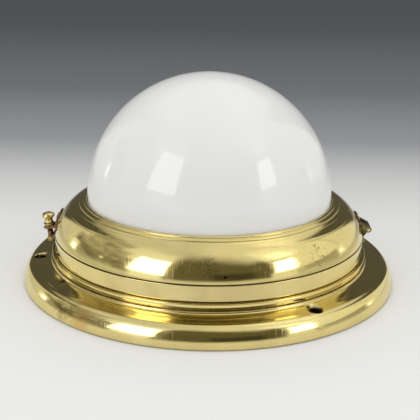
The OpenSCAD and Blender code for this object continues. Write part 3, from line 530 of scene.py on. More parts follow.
class Graph:
    """A node tree that is built from empty. node() makes one node and sets or links its inputs, add() gives one
    of the new node's outputs, and the other calls are short words for the nodes used most."""

    def __init__(self, owner):
        owner.use_nodes = True
        self.tree = owner.node_tree
        self.tree.nodes.clear()

    def node(self, kind, inputs=None, **settings):
        node = self.tree.nodes.new("ShaderNode" + kind)
        node.location = (220 * (len(self.tree.nodes) % 12), -260 * (len(self.tree.nodes) // 12))
        for key, value in settings.items():
            setattr(node, key, value)
        for key, value in (inputs or {}).items():
            if isinstance(value, Value):
                self.tree.links.new(value.socket, node.inputs[key])
            elif value is not None:
                node.inputs[key].default_value = value
        return node

    def add(self, kind, inputs=None, out=0, **settings):
        return Value(self, self.node(kind, inputs, **settings).outputs[out])

    def math(self, operation, *values, clamp=False):
        return self.add("Math", dict(enumerate(values)), operation=operation, use_clamp=clamp)

    def most(self, value, *others):
        """The highest of the values."""
        for other in others:
            value = self.math("MAXIMUM", value, other)
        return value

    def parts(self, vector):
        return [Value(self, output) for output in self.node("SeparateXYZ", {0: vector}).outputs]

    def join(self, *parts):
        return self.add("CombineXYZ", dict(enumerate(parts)))

    def noise(self, scale, detail=4.0, rough=0.5, place=None, out="Fac"):
        return self.add("TexNoise", {
            "Vector": place or self.place, "Scale": scale, "Detail": detail, "Roughness": rough,
        }, out)

    def ease(self, value, low, high, out_low=0.0, out_high=1.0):
        """Runs smoothly from out_low to out_high while value goes from low to high."""
        return self.add("MapRange", {
            "Value": value, "From Min": low, "From Max": high, "To Min": out_low, "To Max": out_high,
        }, "Result", interpolation_type="SMOOTHSTEP")

    def clouds(self, scale, detail, rough, *limits):
        """Noise whose values are eased between limits, as ease() takes them."""
        return self.ease(self.noise(scale, detail, rough), *limits)

    def band(self, value, middle, half, soft):
        """1 where value is within half of middle, fading to 0 over soft beyond."""
        return self.ease(abs(value - middle), half, half + soft, 1.0, 0.0)

    def blend(self, amount, a, b, mode="MIX"):
        a, b = (tone if isinstance(tone, Value) else (*tone[:3], 1.0) for tone in (a, b))
        return self.add("Mix", {0: amount, 6: a, 7: b}, 2, data_type="RGBA", blend_type=mode)

    def ramp(self, value, stops):
        """Colour that runs through (place, colour) stops, the first at 0 and the last at 1."""
        node = self.node("ValToRGB", {0: value})
        for at, _ in stops[1:-1]:
            node.color_ramp.elements.new(at)
        for element, (_, tone) in zip(node.color_ramp.elements, stops):
            element.color = (*tone, 1.0)
        return Value(self, node.outputs[0])


METAL = {"Metallic": 1.0}


class Finish(Graph):
    """A material whose textures are laid out in the object's own coordinates."""

    def __init__(self, name):
        self.material = bpy.data.materials.new(name)
        super().__init__(self.material)
        self.place = self.add("TexCoord", None, "Object")

    def spot(self, place, radius, soft, wobble=0.0):
        """1 inside a ball of that radius round place (mm), fading over soft, its edge wobbled by noise."""
        centre = tuple(v * MM for v in place)
        far = self.add("VectorMath", {0: self.place, 1: centre}, "Value", operation="DISTANCE")
        if wobble:
            far = far + (self.noise(900, 3) - 0.5) * (wobble * MM)
        return self.ease(far, radius * MM, (radius + soft) * MM, 1.0, 0.0)

    def round_z(self):
        """x, y, z and the distance from the z axis."""
        x, y, z = self.parts(self.place)
        return x, y, z, self.math("SQRT", x * x + y * y)

    def corners(self, reach):
        """1 on open faces, falling towards 0 where other faces lie within reach (mm)."""
        return self.add("AmbientOcclusion", {"Distance": reach * MM}, "AO", samples=4)

    def soft_edges(self, radius):
        return self.add("Bevel", {"Radius": radius * MM}, samples=4)

    def bump(self, height, distance, normal=None):
        """Normal of a surface raised by height times distance (mm)."""
        inputs = {"Height": height, "Distance": distance * MM, "Strength": 1.0, "Normal": normal}
        return self.add("Bump", inputs)

    def close(self, colour, rough, normal=None, more=()):
        inputs = {"Base Color": colour, "Roughness": rough, "Normal": normal, **dict(more)}
        shader = self.add("BsdfPrincipled", inputs)
        self.node("OutputMaterial", {"Surface": shader})
        return self.material


def tinted(colour, factor):
    return tuple(np.multiply(colour, factor))


def streaks(f, angle, across, along, seed, low, high):
    """Fine straight scratches: noise whose space is turned by angle and squeezed across the scratch, kept only
    where it passes a high threshold."""
    space = f.add("Mapping", {
        "Vector": f.place, "Location": (seed, seed * 0.7, -seed),
        "Rotation": tuple(np.radians(angle)), "Scale": (across, along, along),
    }, vector_type="POINT")
    return f.ease(f.noise(1, 2, 0.4, space), low, high)


def lathe_rings(f, fine):
    """Marks left by turning and polishing: noise over (x / r, y / r, fine (r + z)), so that it is drawn out
    along circles round the z axis and has no seam. Gives r and z too."""
    x, y, z, r = f.round_z()
    safe = f.most(r, 0.0001)
    return f.noise(1, 3, 0.55, f.join(x / safe * 1.6, y / safe * 1.6, (r + z) * fine)), r, z


def polished_brass(name, colours, rough, waviness, dirt_and_shade=None, marks=None):
    """Old polished brass: clean metal with a faint yellow-green drift, brown tarnish and painted shade in the
    places that dirt_and_shade() gives, lathe rings, fine scratches, finger smears that dull it, slow waves of
    the spun sheet, and what marks() adds to colour, roughness and normal."""
    f = Finish(name)
    rings, r, z = lathe_rings(f, 900)
    smears = f.clouds(55, 5, 0.62, 0.46, 0.72)
    colour = f.blend(f.clouds(14, 3, 0.5, 0.3, 0.7), colours.brass, colours.brass_deep)
    colour = f.blend(smears * 0.22, colour, colours.brass_dull)
    scratches = f.most(streaks(f, (10, 25, 35), 2600, 45, 0.31, 0.66, 0.74),
                       streaks(f, (-35, 15, -20), 2300, 38, 1.7, 0.67, 0.75))
    colour = f.blend(scratches * 0.35, colour, colours.brass_dull)
    grime_and_shade = f.clouds(240, 4, 0.7, 0.56, 0.8) * 0.18
    if dirt_and_shade:
        ragged = f.noise(160, 4, 0.6) * 0.9 + 0.35
        grime_and_shade = f.math("MAXIMUM", grime_and_shade, dirt_and_shade(f, r, z) * ragged, clamp=True)
    # tarnish, and painted shade at the gap between drum and bezel, where the mask is high; near black where it
    # is highest
    colour = f.blend(grime_and_shade, colour, colours.tarnish)
    colour = f.blend(f.ease(grime_and_shade, 0.7, 1.0, 0.0, 0.8), colour, (0.05, 0.03, 0.012))
    normal = f.bump(f.noise(22, 1.5, 0.4) + f.noise(75, 1, 0.4) * 0.22, waviness)
    normal = f.bump(scratches, -0.006, f.bump(rings, 0.0035, normal))
    finish = smears * 0.07 + rough + f.ease(rings, 0.35, 0.75) * 0.035 + grime_and_shade * 0.34 + scratches * 0.10
    if marks:
        colour, finish, normal = marks(f, colour, finish, normal)
    return f.close(colour, finish, normal, METAL)


def flange_dirt(f, r, z):
    """Tarnish in the cove at the drum's foot, along the rim's bottom edge, and all over the underside."""
    cove = f.most(f.ease(r, 0.1297, 0.1300, 0.9, 0.0), f.band(r, 0.1303, 0.0001, 0.0004) * 0.35)
    up = f.parts(f.add("NewGeometry", None, "True Normal"))[2]
    return f.most(cove, f.ease(z, 0.0002, 0.0013, 0.55, 0.0), f.ease(up, -0.45, -0.15, 0.85, 0.0))


def flange_marks(f, colour, finish, normal):
    """Older polish in a ring at the front of the flat and along the rim; on the left an orange tarnish patch, a
    brown smudge, a speck of rust and a small dent; and painted shade, dark brown, in the bores and countersinks
    of the screw holes."""
    _, y, z, r = f.round_z()
    old = f.band(r, 0.1385, 0.0045, 0.003) * f.ease(y, -0.125, -0.05, 0.42, 0.0)
    patch = f.spot((-92.0, -119.0, 6.5), 4.0, 7.0, 6.0) * 0.5
    rim = f.ease(z, 0.009, 0.012, 0.45, 0.0) * f.ease(y, -0.145, -0.06, 1.0, 0.35)
    smudge = f.spot((-104.0, -106.0, 9.0), 5.0, 12.0, 5.0) * f.clouds(75, 4, 0.65, 0.44, 0.6)
    for amount, tone in (
        (old * f.clouds(60, 4, 0.6, 0.3, 0.6, 0.6, 1.0), (0.30, 0.22, 0.06)),
        (patch, (0.72, 0.36, 0.10)),
        (rim * f.clouds(34, 4, 0.6, 0.35, 0.65, 0.4, 1.0), (0.60, 0.48, 0.20)),
        (smudge * 0.55, (0.36, 0.24, 0.07)),
        (f.spot((-112.6, -70.5, 17.5), 1.2, 2.2, 4.0) * 0.85, (0.42, 0.13, 0.04)),
    ):
        colour = f.blend(amount, colour, tone)
    finish = finish + patch * 0.12
    normal = f.bump(f.spot((-106.0, -103.0, 12.0), 0.3, 3.2), -0.16, normal)
    for angle in HOLE_ANGLES:
        a = np.radians(angle)
        # painted shade: the bore and the lower countersink of each hole are dark brown
        bore = f.spot(((HOLE_RING - 0.6) * np.cos(a), (HOLE_RING - 0.6) * np.sin(a), 13.6), 5.3, 1.0, 1.6)
        colour = f.blend(bore * 0.93, colour, (0.10, 0.055, 0.02))
        finish = finish + bore * 0.3
    return colour, finish, normal


def drum_tarnish_and_shade(f, r, z):
    """Tarnish in the groove above the collar, the gap under it and the drum's hidden inside, and painted shade
    on the top lip, dark as the gap under the bezel.
    """
    return f.most(f.band(z, 0.0252, 0.0001, 0.0004) * 1.4, f.ease(z, 0.0199, 0.0207, 0.9, 0.0),
                  # painted shade: the top lip is darkened like the gap under the bezel
                  f.ease(z, 0.03802, 0.0382, 0.0, 1.2), f.ease(r, 0.1258, 0.1264, 0.8, 0.0))


def drum_marks(f, colour, finish, normal):
    """Older, darker polish on the front of the band, in uneven clouds."""
    _, y, z = f.parts(f.place)
    clouds = f.clouds(28, 4, 0.6, 0.35, 0.65, 0.45, 1.0) * f.ease(z, 0.0256, 0.0262)
    return f.blend(f.ease(y, -0.126, -0.075, 0.75, 0.0) * clouds, colour, (0.62, 0.50, 0.235)), finish, normal


def bezel_tarnish_and_shade(f, r, z):
    """Tarnish inside the shell and in the turned grooves near the mouth, and painted shade at the foot's edge,
    dark as the gap over the drum.
    """
    from_centre = f.join(r - BEZEL_C[0] * MM, z - BEZEL_C[1] * MM, 0.0)
    away = f.add("VectorMath", {0: from_centre}, "Value", operation="LENGTH")
    return f.most(f.ease(away, 0.0334, 0.0339, 0.8, 0.0), f.ease(away, 0.0343, 0.03465, 0.9, 0.0),
                  # painted shade: the foot's edge is darkened like the gap over the drum
                  f.ease(z, 0.0389, 0.0393, 0.8, 0.0))


def bezel_marks(f, colour, finish, normal):
    """What the bezel has picked up in use: a dark pit and scuffs at the front, a scribble of scratches on the
    right of it, and a small bright dent on the left."""
    colour = f.blend(f.spot((12.4, -124.9, 44.4), 0.5, 0.8, 1.2) * 0.97, colour, (0.03, 0.02, 0.008))
    scuffs = f.spot((0.5, -122.6, 50.0), 4.0, 7.0) * f.clouds(420, 5, 0.75, 0.48, 0.56)
    colour = f.blend(scuffs * 0.9, colour, (0.20, 0.155, 0.06))
    shift = f.add("VectorMath", {0: f.noise(130, 2, out="Color"), "Scale": 0.016}, operation="SCALE")
    wander = f.add("VectorMath", {0: f.place, 1: shift}, operation="ADD")
    lines = f.add("TexWave", {
        "Vector": wander, "Scale": 42.0, "Distortion": 2.5, "Detail": 1.0, "Detail Scale": 1.5,
    }, "Fac", wave_type="BANDS", bands_direction="DIAGONAL")
    scribble = f.spot((82.5, -90.5, 50.0), 5.5, 5.0) * f.ease(lines, 0.965, 0.995)
    colour = f.blend(scribble * 0.75, colour, (0.13, 0.10, 0.04))
    finish = finish + f.most(scribble, scuffs) * 0.25
    return colour, finish, f.bump(f.spot((-91.0, -83.0, 54.0), 0.3, 2.6), -0.2, normal)


def worn_fitting(name, clean, tarnish, rough, amount):
    """A small brass fitting: clean metal on its exposed faces and edges, brown in the corners where a cloth
    doesn't reach, with tiny dents and a softened look of its edges."""
    f = Finish(name)
    in_corners = f.ease(f.corners(2.5), 0.35, 0.9, 0.85, 0.0)
    brown = f.math("ADD", in_corners, f.clouds(420, 5, 0.65, 0.42, 0.72) * amount, clamp=True)
    finish = brown * 0.32 + f.noise(900, 3) * 0.12 + rough
    normal = f.bump(f.noise(350, 4, 0.6), 0.05, f.soft_edges(0.22))
    return f.close(f.blend(brown, clean, tarnish), finish, normal, METAL)


def opal(name, colour):
    """Flashed opal glass: milk-white body that lets light wander inside it, under a glossy skin with the slow
    waves of blown glass and a few seeds."""
    f = Finish(name)
    tone = f.blend(f.clouds(18, 4, 0.55, 0.35, 0.7), colour, tinted(colour, (0.985, 0.985, 0.975)))
    seeds = f.add("TexVoronoi", {"Vector": f.place, "Scale": 90.0}, "Distance", feature="F1")
    normal = f.bump(f.ease(seeds, 0.02, 0.07, 1.0, 0.0), 0.01, f.bump(f.noise(30, 1.5, 0.4), 0.1))
    return f.close(tone, f.clouds(60, 4, 0.6, 0.5, 0.75, 0.02, 0.05), normal, {
        "IOR": 1.5, "Subsurface Weight": 0.5, "Subsurface Radius": (0.02, 0.02, 0.018), "Subsurface Scale": 0.4,
    })


def glazed(name, colour, fleck, rough):
    """Enamel or porcelain: glossy white glaze with an uneven, orange-peel surface and dark flecks."""
    f = Finish(name)
    cell = f.add("TexVoronoi", {"Vector": f.place, "Scale": 130.0}, "Distance", feature="F1")
    stain = f.clouds(35, 5, 0.6, 0.45, 0.8, 0.0, 0.35)
    tone = f.blend(stain, colour, tinted(colour, (0.86, 0.80, 0.68)))
    tone = f.blend(f.ease(cell, 0.03, 0.06, 0.7, 0.0), tone, fleck)
    return f.close(tone, f.clouds(120, 3, 0.5, 0.3, 0.8, rough, rough + 0.12), f.bump(f.noise(190, 2), 0.03),
                   {"Coat Weight": 0.6, "Coat Roughness": 0.06})


def plated_steel(name, colour):
    """Zinc-plated steel: grey metal with a cloudy grain and brown bloom in its corners."""
    f = Finish(name)
    grain = f.noise(520, 5, 0.65)
    tone = f.blend(f.ease(grain, 0.35, 0.7), colour, tinted(colour, 0.72))
    tone = f.blend(f.ease(f.corners(2.0), 0.3, 0.85, 0.6, 0.0), tone, (0.20, 0.13, 0.07))
    return f.close(tone, f.ease(grain, 0.3, 0.75, 0.24, 0.42), f.bump(grain, 0.012, f.soft_edges(0.15)), METAL)


def rubber(name, colour):
    """Aged rubber: near-black with a grey bloom and a faintly pebbled skin."""
    f = Finish(name)
    bloom = f.clouds(70, 5, 0.6, 0.4, 0.8, 0.0, 0.6)
    tone = f.blend(bloom, colour, tuple(np.multiply(colour, 2.6) + 0.01))
    return f.close(tone, f.ease(bloom, 0.0, 0.6, 0.55, 0.8), f.bump(f.noise(1500, 3), 0.04))


def felt(name, colour):
    """Pressed wool felt: tangled short fibres from two squeezed noises, in lighter and darker hairs."""
    f = Finish(name)
    hair = f.most(streaks(f, (20, 35, 50), 5200, 700, 0.4, 0.35, 0.75),
                  streaks(f, (-40, 10, -65), 5600, 800, 2.2, 0.35, 0.75))
    tone = f.blend(hair, tinted(colour, 0.55), colour)
    tone = f.blend(f.clouds(45, 4, 0.5, 0.4, 0.75, 0.0, 0.5), tone, tinted(colour, 0.6))
    return f.close(tone, 0.95, f.bump(hair, 0.25), {"Sheen Weight": 0.4, "Sheen Roughness": 0.5})


def braided_lead(name, colour, fleck):
    """Cotton-braided lead on the piece's own UV map (u along it in metres, v round it): two sets of threads
    wind in opposite directions, and the higher of the two at each place shows, with painted shade in the
    hollows between them."""
    lay, threads = 0.0032, 6
    f = Finish(name)
    u, v, _ = f.parts(f.add("UVMap", uv_map="UVMap"))
    along, about = u * (2 * np.pi / lay), v * (2 * np.pi * threads)
    left, right = f.math("SINE", along + about), f.math("SINE", along - about)
    thread = f.most(left, right)
    tone = f.blend(f.ease(left - right, -0.3, 0.3) * 0.35, colour, fleck)
    # painted shade: darker where the threads are low, in the hollows between them
    tone = f.blend(1.0 - f.ease(thread, -0.2, 1.0), tone, tinted(colour, 0.35))
    return f.close(tone, 0.85, f.bump(thread, 0.12), {"Sheen Weight": 0.25, "Sheen Roughness": 0.4})


def clear_glass(name):
    """Thin clear bulb glass with faint draw marks and a light film of dust near its neck."""
    f = Finish(name)
    dust = f.clouds(80, 5, 0.65, 0.4, 0.8) * f.ease(f.parts(f.place)[2], 0.06, 0.10, 0.30, 0.06)
    tone = f.blend(dust, (0.97, 0.98, 0.975), (0.72, 0.70, 0.64))
    return f.close(tone, dust * 0.6, f.bump(f.noise(45, 1.5), 0.06), {"IOR": 1.45, "Transmission Weight": 1.0})


def spun_aluminium(name, colour):
    """Bulb cap metal: pale, finely ringed, with darker scuffs."""
    f = Finish(name)
    rings = lathe_rings(f, 2600)[0]
    tone = f.blend(f.clouds(380, 5, 0.7, 0.5, 0.75) * 0.5, colour, tinted(colour, 0.55))
    return f.close(tone, f.ease(rings, 0.3, 0.7, 0.25, 0.4), f.bump(rings, 0.01), METAL)


def vitrite(name):
    """Black glass insulator of the bulb cap, slightly cloudy."""
    f = Finish(name)
    cloud = f.noise(300, 4)
    tone = f.blend(f.ease(cloud, 0.4, 0.7), (0.012, 0.012, 0.016), (0.03, 0.03, 0.04))
    return f.close(tone, f.ease(cloud, 0.3, 0.8, 0.08, 0.25), f.bump(cloud, 0.02))


# ---- settings


def colour_property(name, description, default):
    return FloatVectorProperty(
        name=name, description=description, subtype="COLOR", size=3, min=0, max=1, default=default)


def size_property(name, description, default):
    return FloatProperty(name=name, description=description, unit="LENGTH", precision=5, min=0, default=default)


def light_property(name, description, **unit):
    return FloatProperty(name=name, description=description, min=0, default=1.0, **unit)


class LampSizes(bpy.types.PropertyGroup):
    """Sizes of the fine forms that are made here."""

    stem_pitch: size_property("Bolt thread pitch", "Pitch of the swing bolt's V thread", 0.0008)
    stem_depth: size_property("Bolt thread depth", "Depth of the swing bolt's V thread", 0.00042)
    cap_pitch: size_property("Cap thread pitch", "Pitch of the bulb cap's round thread", 0.0036)
    groove_depth: size_property("Groove depth", "Depth of the grooves turned near the bezel's mouth", 0.0003)
    lead_radius: size_property("Lead radius", "Radius of an insulated lead", 0.0015)
    wire_radius: size_property("Filament radius", "Radius of the bulb's coiled filament", 0.00045)
    wire_turns: IntProperty(
        name="Filament turns", description="Coils on the bulb's filament", min=10, max=80, default=48)


class LampColours(bpy.types.PropertyGroup):
    """Colours of the finishes."""

    brass: colour_property("Brass", "Clean polished brass", (0.905, 0.765, 0.345))
    brass_deep: colour_property("Deep brass", "Brass where the polish is older", (0.87, 0.72, 0.295))
    brass_dull: colour_property("Dull brass", "Brass under finger smears and scratches", (0.70, 0.57, 0.26))
    tarnish: colour_property("Tarnish", "Brown tarnish in grooves and corners", (0.20, 0.125, 0.04))
    fitting: colour_property("Hinge", "Old brass of the hinge", (0.27, 0.225, 0.105))
    stem: colour_property("Catch", "Old brass of the swing bolt, its bracket and the fork", (0.36, 0.22, 0.11))
    fitting_dark: colour_property("Dark fittings", "Dark brown of hinge and catch", (0.04, 0.028, 0.012))
    opal: colour_property("Opal glass", "Milk-white glass of the globe", (0.90, 0.905, 0.89))
    enamel: colour_property("Enamel", "Enamel of the back plate", (0.85, 0.85, 0.81))
    porcelain: colour_property("Porcelain", "Glaze of the lampholder and terminal block", (0.86, 0.84, 0.78))
    zinc: colour_property("Zinc", "Plated steel screws and nuts", (0.62, 0.62, 0.60))
    rubber: colour_property("Rubber", "Grommet and gasket", (0.018, 0.018, 0.017))
    felt: colour_property("Felt", "Seal ring inside the bezel", (0.33, 0.26, 0.17))
    live: colour_property("Live lead", "Braid of the live lead", (0.42, 0.05, 0.03))
    neutral: colour_property("Neutral lead", "Braid of the neutral lead", (0.03, 0.03, 0.03))
    aluminium: colour_property("Cap metal", "Metal of the bulb's cap", (0.74, 0.74, 0.72))


class LampStudio(bpy.types.PropertyGroup):
    """Floor and light."""

    floor: colour_property("Floor", "Pale studio floor", (0.84, 0.84, 0.83))
    fill: light_property("Fill light", "Power of the soft overhead lamp", unit="POWER")
    even: light_property("Even light", "Strength of the even light on matt surfaces")
    room: light_property("Room light", "Strength of the studio's panels and walls")


def paint(material, *nodes):
    """Gives CAD nodes a material in their own slot."""
    for node in nodes:
        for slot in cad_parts[node].material_slots:
            slot.material = material


# ---- operators


class LAMP_OT_flange(bpy.types.Operator):
    """Makes the spun mounting flange with its three countersunk holes"""

    bl_idname = "lamp.flange"
    bl_label = "Flange"

    def execute(self, context):
        colours = context.scene.lamp_colours
        brass = polished_brass("flange_finish", colours, 0.075, 0.30, flange_dirt, flange_marks)
        make_piece("flange", flange_surface(), brass, "base", ("base_flange",), sharp=50)
        return {"FINISHED"}


class LAMP_OT_drum(bpy.types.Operator):
    """Makes the spun drum between the flange and the bezel"""

    bl_idname = "lamp.drum"
    bl_label = "Drum"

    def execute(self, context):
        colours = context.scene.lamp_colours
        brass = polished_brass("drum_finish", colours, 0.085, 0.16, drum_tarnish_and_shade, drum_marks)
        make_piece("drum_shell", turned(drum_section()), brass, "base", ("drum",))
        return {"FINISHED"}


class LAMP_OT_bezel(bpy.types.Operator):
    """Makes the spun bezel and finishes the ring that holds the globe in it"""

    bl_idname = "lamp.bezel"
    bl_label = "Bezel"

    def execute(self, context):
        colours = context.scene.lamp_colours
        depth = context.scene.lamp_sizes.groove_depth / MM
        grooves = [(r, width, share * depth) for r, width, share in GROOVES]
        brass = polished_brass("bezel_finish", colours, 0.07, 0.24, bezel_tarnish_and_shade, bezel_marks)
        make_piece("bezel_shell", turned(bezel_section(grooves)), brass, "bezel", ("bezel",))
        paint(polished_brass("ring_finish", colours, 0.2, 0.1), "glass_ring", "ring_lugs")
        return {"FINISHED"}


class LAMP_OT_globe(bpy.types.Operator):
    """Makes the opal globe with its foot ring"""

    bl_idname = "lamp.globe"
    bl_label = "Globe"

    def execute(self, context):
        glass = opal("opal_finish", context.scene.lamp_colours.opal)
        make_piece("globe", turned(globe_section()), glass, "bezel", ("glass_dome",))
        return {"FINISHED"}


class LAMP_OT_catch(bpy.types.Operator):
    """Makes the swing bolt with its thread and the thumb nut, and finishes the catch and the hinge"""

    bl_idname = "lamp.catch"
    bl_label = "Catch and hinge"

    def execute(self, context):
        colours = context.scene.lamp_colours
        bright = worn_fitting("fitting_bright", colours.brass_dull, colours.tarnish, 0.12, 0.5)
        nut = worn_fitting("nut_finish", colours.brass, (0.14, 0.11, 0.04), 0.10, 0.55)
        dull = worn_fitting("fitting_dull", colours.fitting, colours.fitting_dark, 0.26, 0.9)
        lug = worn_fitting("lug_finish", colours.stem, colours.fitting_dark, 0.26, 0.9)
        stem = worn_fitting("stem_finish", colours.stem, tinted(colours.fitting_dark, 0.5), 0.25, 0.8)
        place = Matrix.Translation(Vector(BOLT_AT) * MM) @ Matrix.Rotation(-np.radians(BOLT_LEAN), 4, "Y")
        self.bolt(context.scene.lamp_sizes, stem, place)
        turned_nut = turned(nut_section(), 128)
        turned_nut[0][:, 2] += NUT_W
        make_piece("thumb_nut_turned", turned_nut, nut, "nut", ("thumb_nut",), place, 40)
        paint(dull, "hinge_leaf_base", "hinge_leaf_bezel")
        paint(lug, "bolt_bracket", "fork_lug")
        paint(bright, "nut_washer", "hinge_pin", "pivot_pin", "hinge_rivets_base", "hinge_rivets_bezel",
              "bracket_rivets", "lug_rivets", "ring_screws", "earth_screw")
        return {"FINISHED"}

    def bolt(self, sizes, material, place):
        """Stem: rows of rings of radius R - depth v(2 pi z / pitch - a), where v is a triangle wave with a flat
        crest, faded out at the plain lower shank and at the chamfered tip; its lowest ring follows the eye's
        barrel, z = sqrt((eye radius)^2 - x^2). The eye is a turned ring about y."""
        columns = 72
        a = angles(columns)
        pitch, depth = sizes.stem_pitch / MM, sizes.stem_depth / MM
        z = np.concatenate([np.linspace(2.9, 4.6, 6), np.arange(THREAD_Z, STEM_L, pitch / 10)])[:, None]
        phase = (z / pitch - a / (2 * np.pi)) % 1.0
        tooth = np.clip(np.abs(phase - 0.5) * 2.5 - 0.12, 0, 1)
        chamfer = 0.5 * soft_step(z, STEM_L - 0.7, STEM_L)
        radius = STEM_R - np.maximum(depth * tooth * soft_step(z, THREAD_Z, 6.2), chamfer)
        foot = np.sqrt((EYE_R - 0.25) ** 2 - (STEM_R * 0.97 * np.cos(a)) ** 2)
        one_row = np.ones((1, columns))
        r = np.concatenate([STEM_R * one_row, radius, (STEM_R - 0.55) * one_row])
        z = np.concatenate([foot[None], z * one_row, STEM_L * one_row])
        points = np.concatenate([swept(r, z, columns), [[0, 0, 2.1], [0, 0, STEM_L]]])
        half = EYE_W / 2
        section = eased([(EYE_BORE, -half), (EYE_R, -half), (EYE_R, half), (EYE_BORE, half)], 0.25)
        eye, eye_quads, _ = turned(section, 96)
        quads = np.concatenate([lattice(len(r), columns), eye_quads + len(points)])
        # the eye is turned about z; x, y, z become x, -z, y, so that its axis lies along y
        points = np.concatenate([points, eye[:, [0, 2, 1]] * [1, -1, 1]])
        shape = points, quads, end_fans(len(r), columns)
        make_piece("threaded_bolt", shape, material, "bolt", ("swing_bolt",), place, 50)


class LAMP_OT_bulb(bpy.types.Operator):
    """Makes the bulb's glass, threaded cap and filament, and the lampholder's threaded shell"""

    bl_idname = "lamp.bulb"
    bl_label = "Bulb and lampholder"

    def execute(self, context):
        sizes, colours = context.scene.lamp_sizes, context.scene.lamp_colours
        cap_metal = spun_aluminium("cap_finish", colours.aluminium)
        contact = worn_fitting("contact_finish", colours.brass, (0.25, 0.17, 0.07), 0.2, 0.5)
        self.glass(clear_glass("bulb_glass_finish"))
        self.cap(sizes.cap_pitch / MM, cap_metal)
        self.shell(sizes.cap_pitch / MM, contact)
        self.filament(sizes, cap_metal, clear_glass("stem_glass_finish"))
        paint(contact, "centre_contact", "holder_terminals", "terminal_inserts", "terminal_screws")
        paint(cap_metal, "bulb_contact")
        paint(vitrite("insulator_finish"), "bulb_insulator")
        return {"FINISHED"}

    def skin(self, inset):
        """Section of the bulb's skin, inset inside it: straight neck, a half cosine swell
        r0 + (r1 - r0) (1 - cos pi u) / 2, then the round end."""
        neck, wide = CAP_R - 0.5, BULB_R * np.cos(np.radians(SWELL_END))
        low, high = CAP_TOP + 4, BULB_C - BULB_R * np.sin(np.radians(SWELL_END))
        u = np.linspace(0, 1, 30)[1:-1]
        return np.concatenate([
            line((neck - inset, CAP_TOP - 4), (neck - inset, low), 5),
            np.stack([neck - inset + (wide - neck) * (1 - np.cos(np.pi * u)) / 2, low + (high - low) * u], 1),
            arc((0, BULB_C), BULB_R - inset, -SWELL_END, 89, 46),
        ])

    def glass(self, material):
        top = BULB_C + BULB_R
        section = np.concatenate([[[0, top - BULB_WALL]], self.skin(BULB_WALL)[::-1], self.skin(0), [[0, top]]])
        make_piece("bulb_envelope", turned(section, 144), material, "bulb", ("bulb_glass",))

    def threaded_wall(self, radius, wall, z_low, z_high, pitch, low_rows, columns=144):
        """A thin wall with the round thread pressed in it: outside rows of round_thread(), inside the same line
        less the wall, joined at both ends."""
        z = np.linspace(z_low, z_high, int((z_high - z_low) / pitch * 26))[:, None]
        start = CAP_Z + ROUND_LEAD - 0.1
        r = round_thread(radius, start, ROUND_TURNS, pitch, ROUND_DEPTH, angles(columns), z)
        low_r, low_z = np.array(low_rows).T[..., None]
        r = np.concatenate([r, r[::-1] - wall, np.repeat(low_r, columns, 1)])
        return swept(r, np.concatenate([z, z[::-1], low_z]), columns), lattice(len(r), columns, True), ()

    def cap(self, pitch, material):
        inset = CAP_R - ROUND_DEPTH
        low = [(inset - 0.45, CAP_Z + 0.2), (inset - 0.2, CAP_Z), (inset, CAP_Z + 0.25)]
        shape = self.threaded_wall(CAP_R, 0.4, CAP_Z + 0.5, CAP_TOP, pitch, low)
        make_piece("bulb_cap_threaded", shape, material, "bulb", ("bulb_cap",), sharp=60)

    def shell(self, pitch, material):
        top = CAP_Z + ROUND_LEAD + ROUND_TURNS * pitch + 3
        inner, floor = CAP_R + SHELL_GAP, SOCKET_FLOOR + SHELL_T
        low = [(inner, floor + 0.4), (inner - 0.4, floor), (SOCKET_HOLE, floor), (SOCKET_HOLE, SOCKET_FLOOR),
               (inner + SHELL_T - 0.4, SOCKET_FLOOR), (inner + SHELL_T, SOCKET_FLOOR + 0.4)]
        shape = self.threaded_wall(inner + SHELL_T, SHELL_T, SOCKET_FLOOR + 1.4, top, pitch, low)
        make_piece("lampholder_shell_threaded", shape, material, "base", ("lampholder_shell",),
                   sharp=50)

    def filament(self, sizes, metal, glass):
        """Glass stem with a pinched top, two bent support wires, and the filament: a coil of radius c wound
        round a half circle, p(s) + c (cos ks n + sin ks b)."""
        base, top = BULB_STEM
        stem = np.concatenate([
            [[0, base]], line((2.8, base), (2.8, top - 7), 6),
            [[2.6, top - 4.5], [2.2, top - 2.5], [2.4, top - 1.2], [1.9, top - 0.2], [0.9, top], [0, top]],
        ])
        make_piece("bulb_stem", turned(stem, 48), glass, "bulb", ("filament",), sharp=60)
        arm = smooth_path([(1.5, 0, top - 2), (2.5, 0, top + 4), (7, 0, top + 14), (ARM_OUT, 0, top + 20),
                           (ARM_OUT, 0, top + 23.3)], 8)
        turns, c = sizes.wire_turns, sizes.wire_radius / MM
        span = np.linspace(0, np.pi, turns * 14)
        spin = span / np.pi * turns * 2 * np.pi
        out = ARM_OUT + c * np.cos(spin)
        coil = np.stack([out * np.cos(span), out * np.sin(span), top + 23 + c * np.sin(spin)], 1)
        shapes, count = [], 0
        for path, radius, sides in ((arm, 0.3, 10), (arm * [-1, -1, 1], 0.3, 10), (coil, 0.1, 6)):
            points, quads, fans, _ = piped(path, radius, sides)
            shapes.append((points, quads + count, fans + count))
            count += len(points)
        wires = [np.concatenate(part) for part in zip(*shapes)]
        make_piece("filament_coil", wires, metal, "bulb", ("filament",))


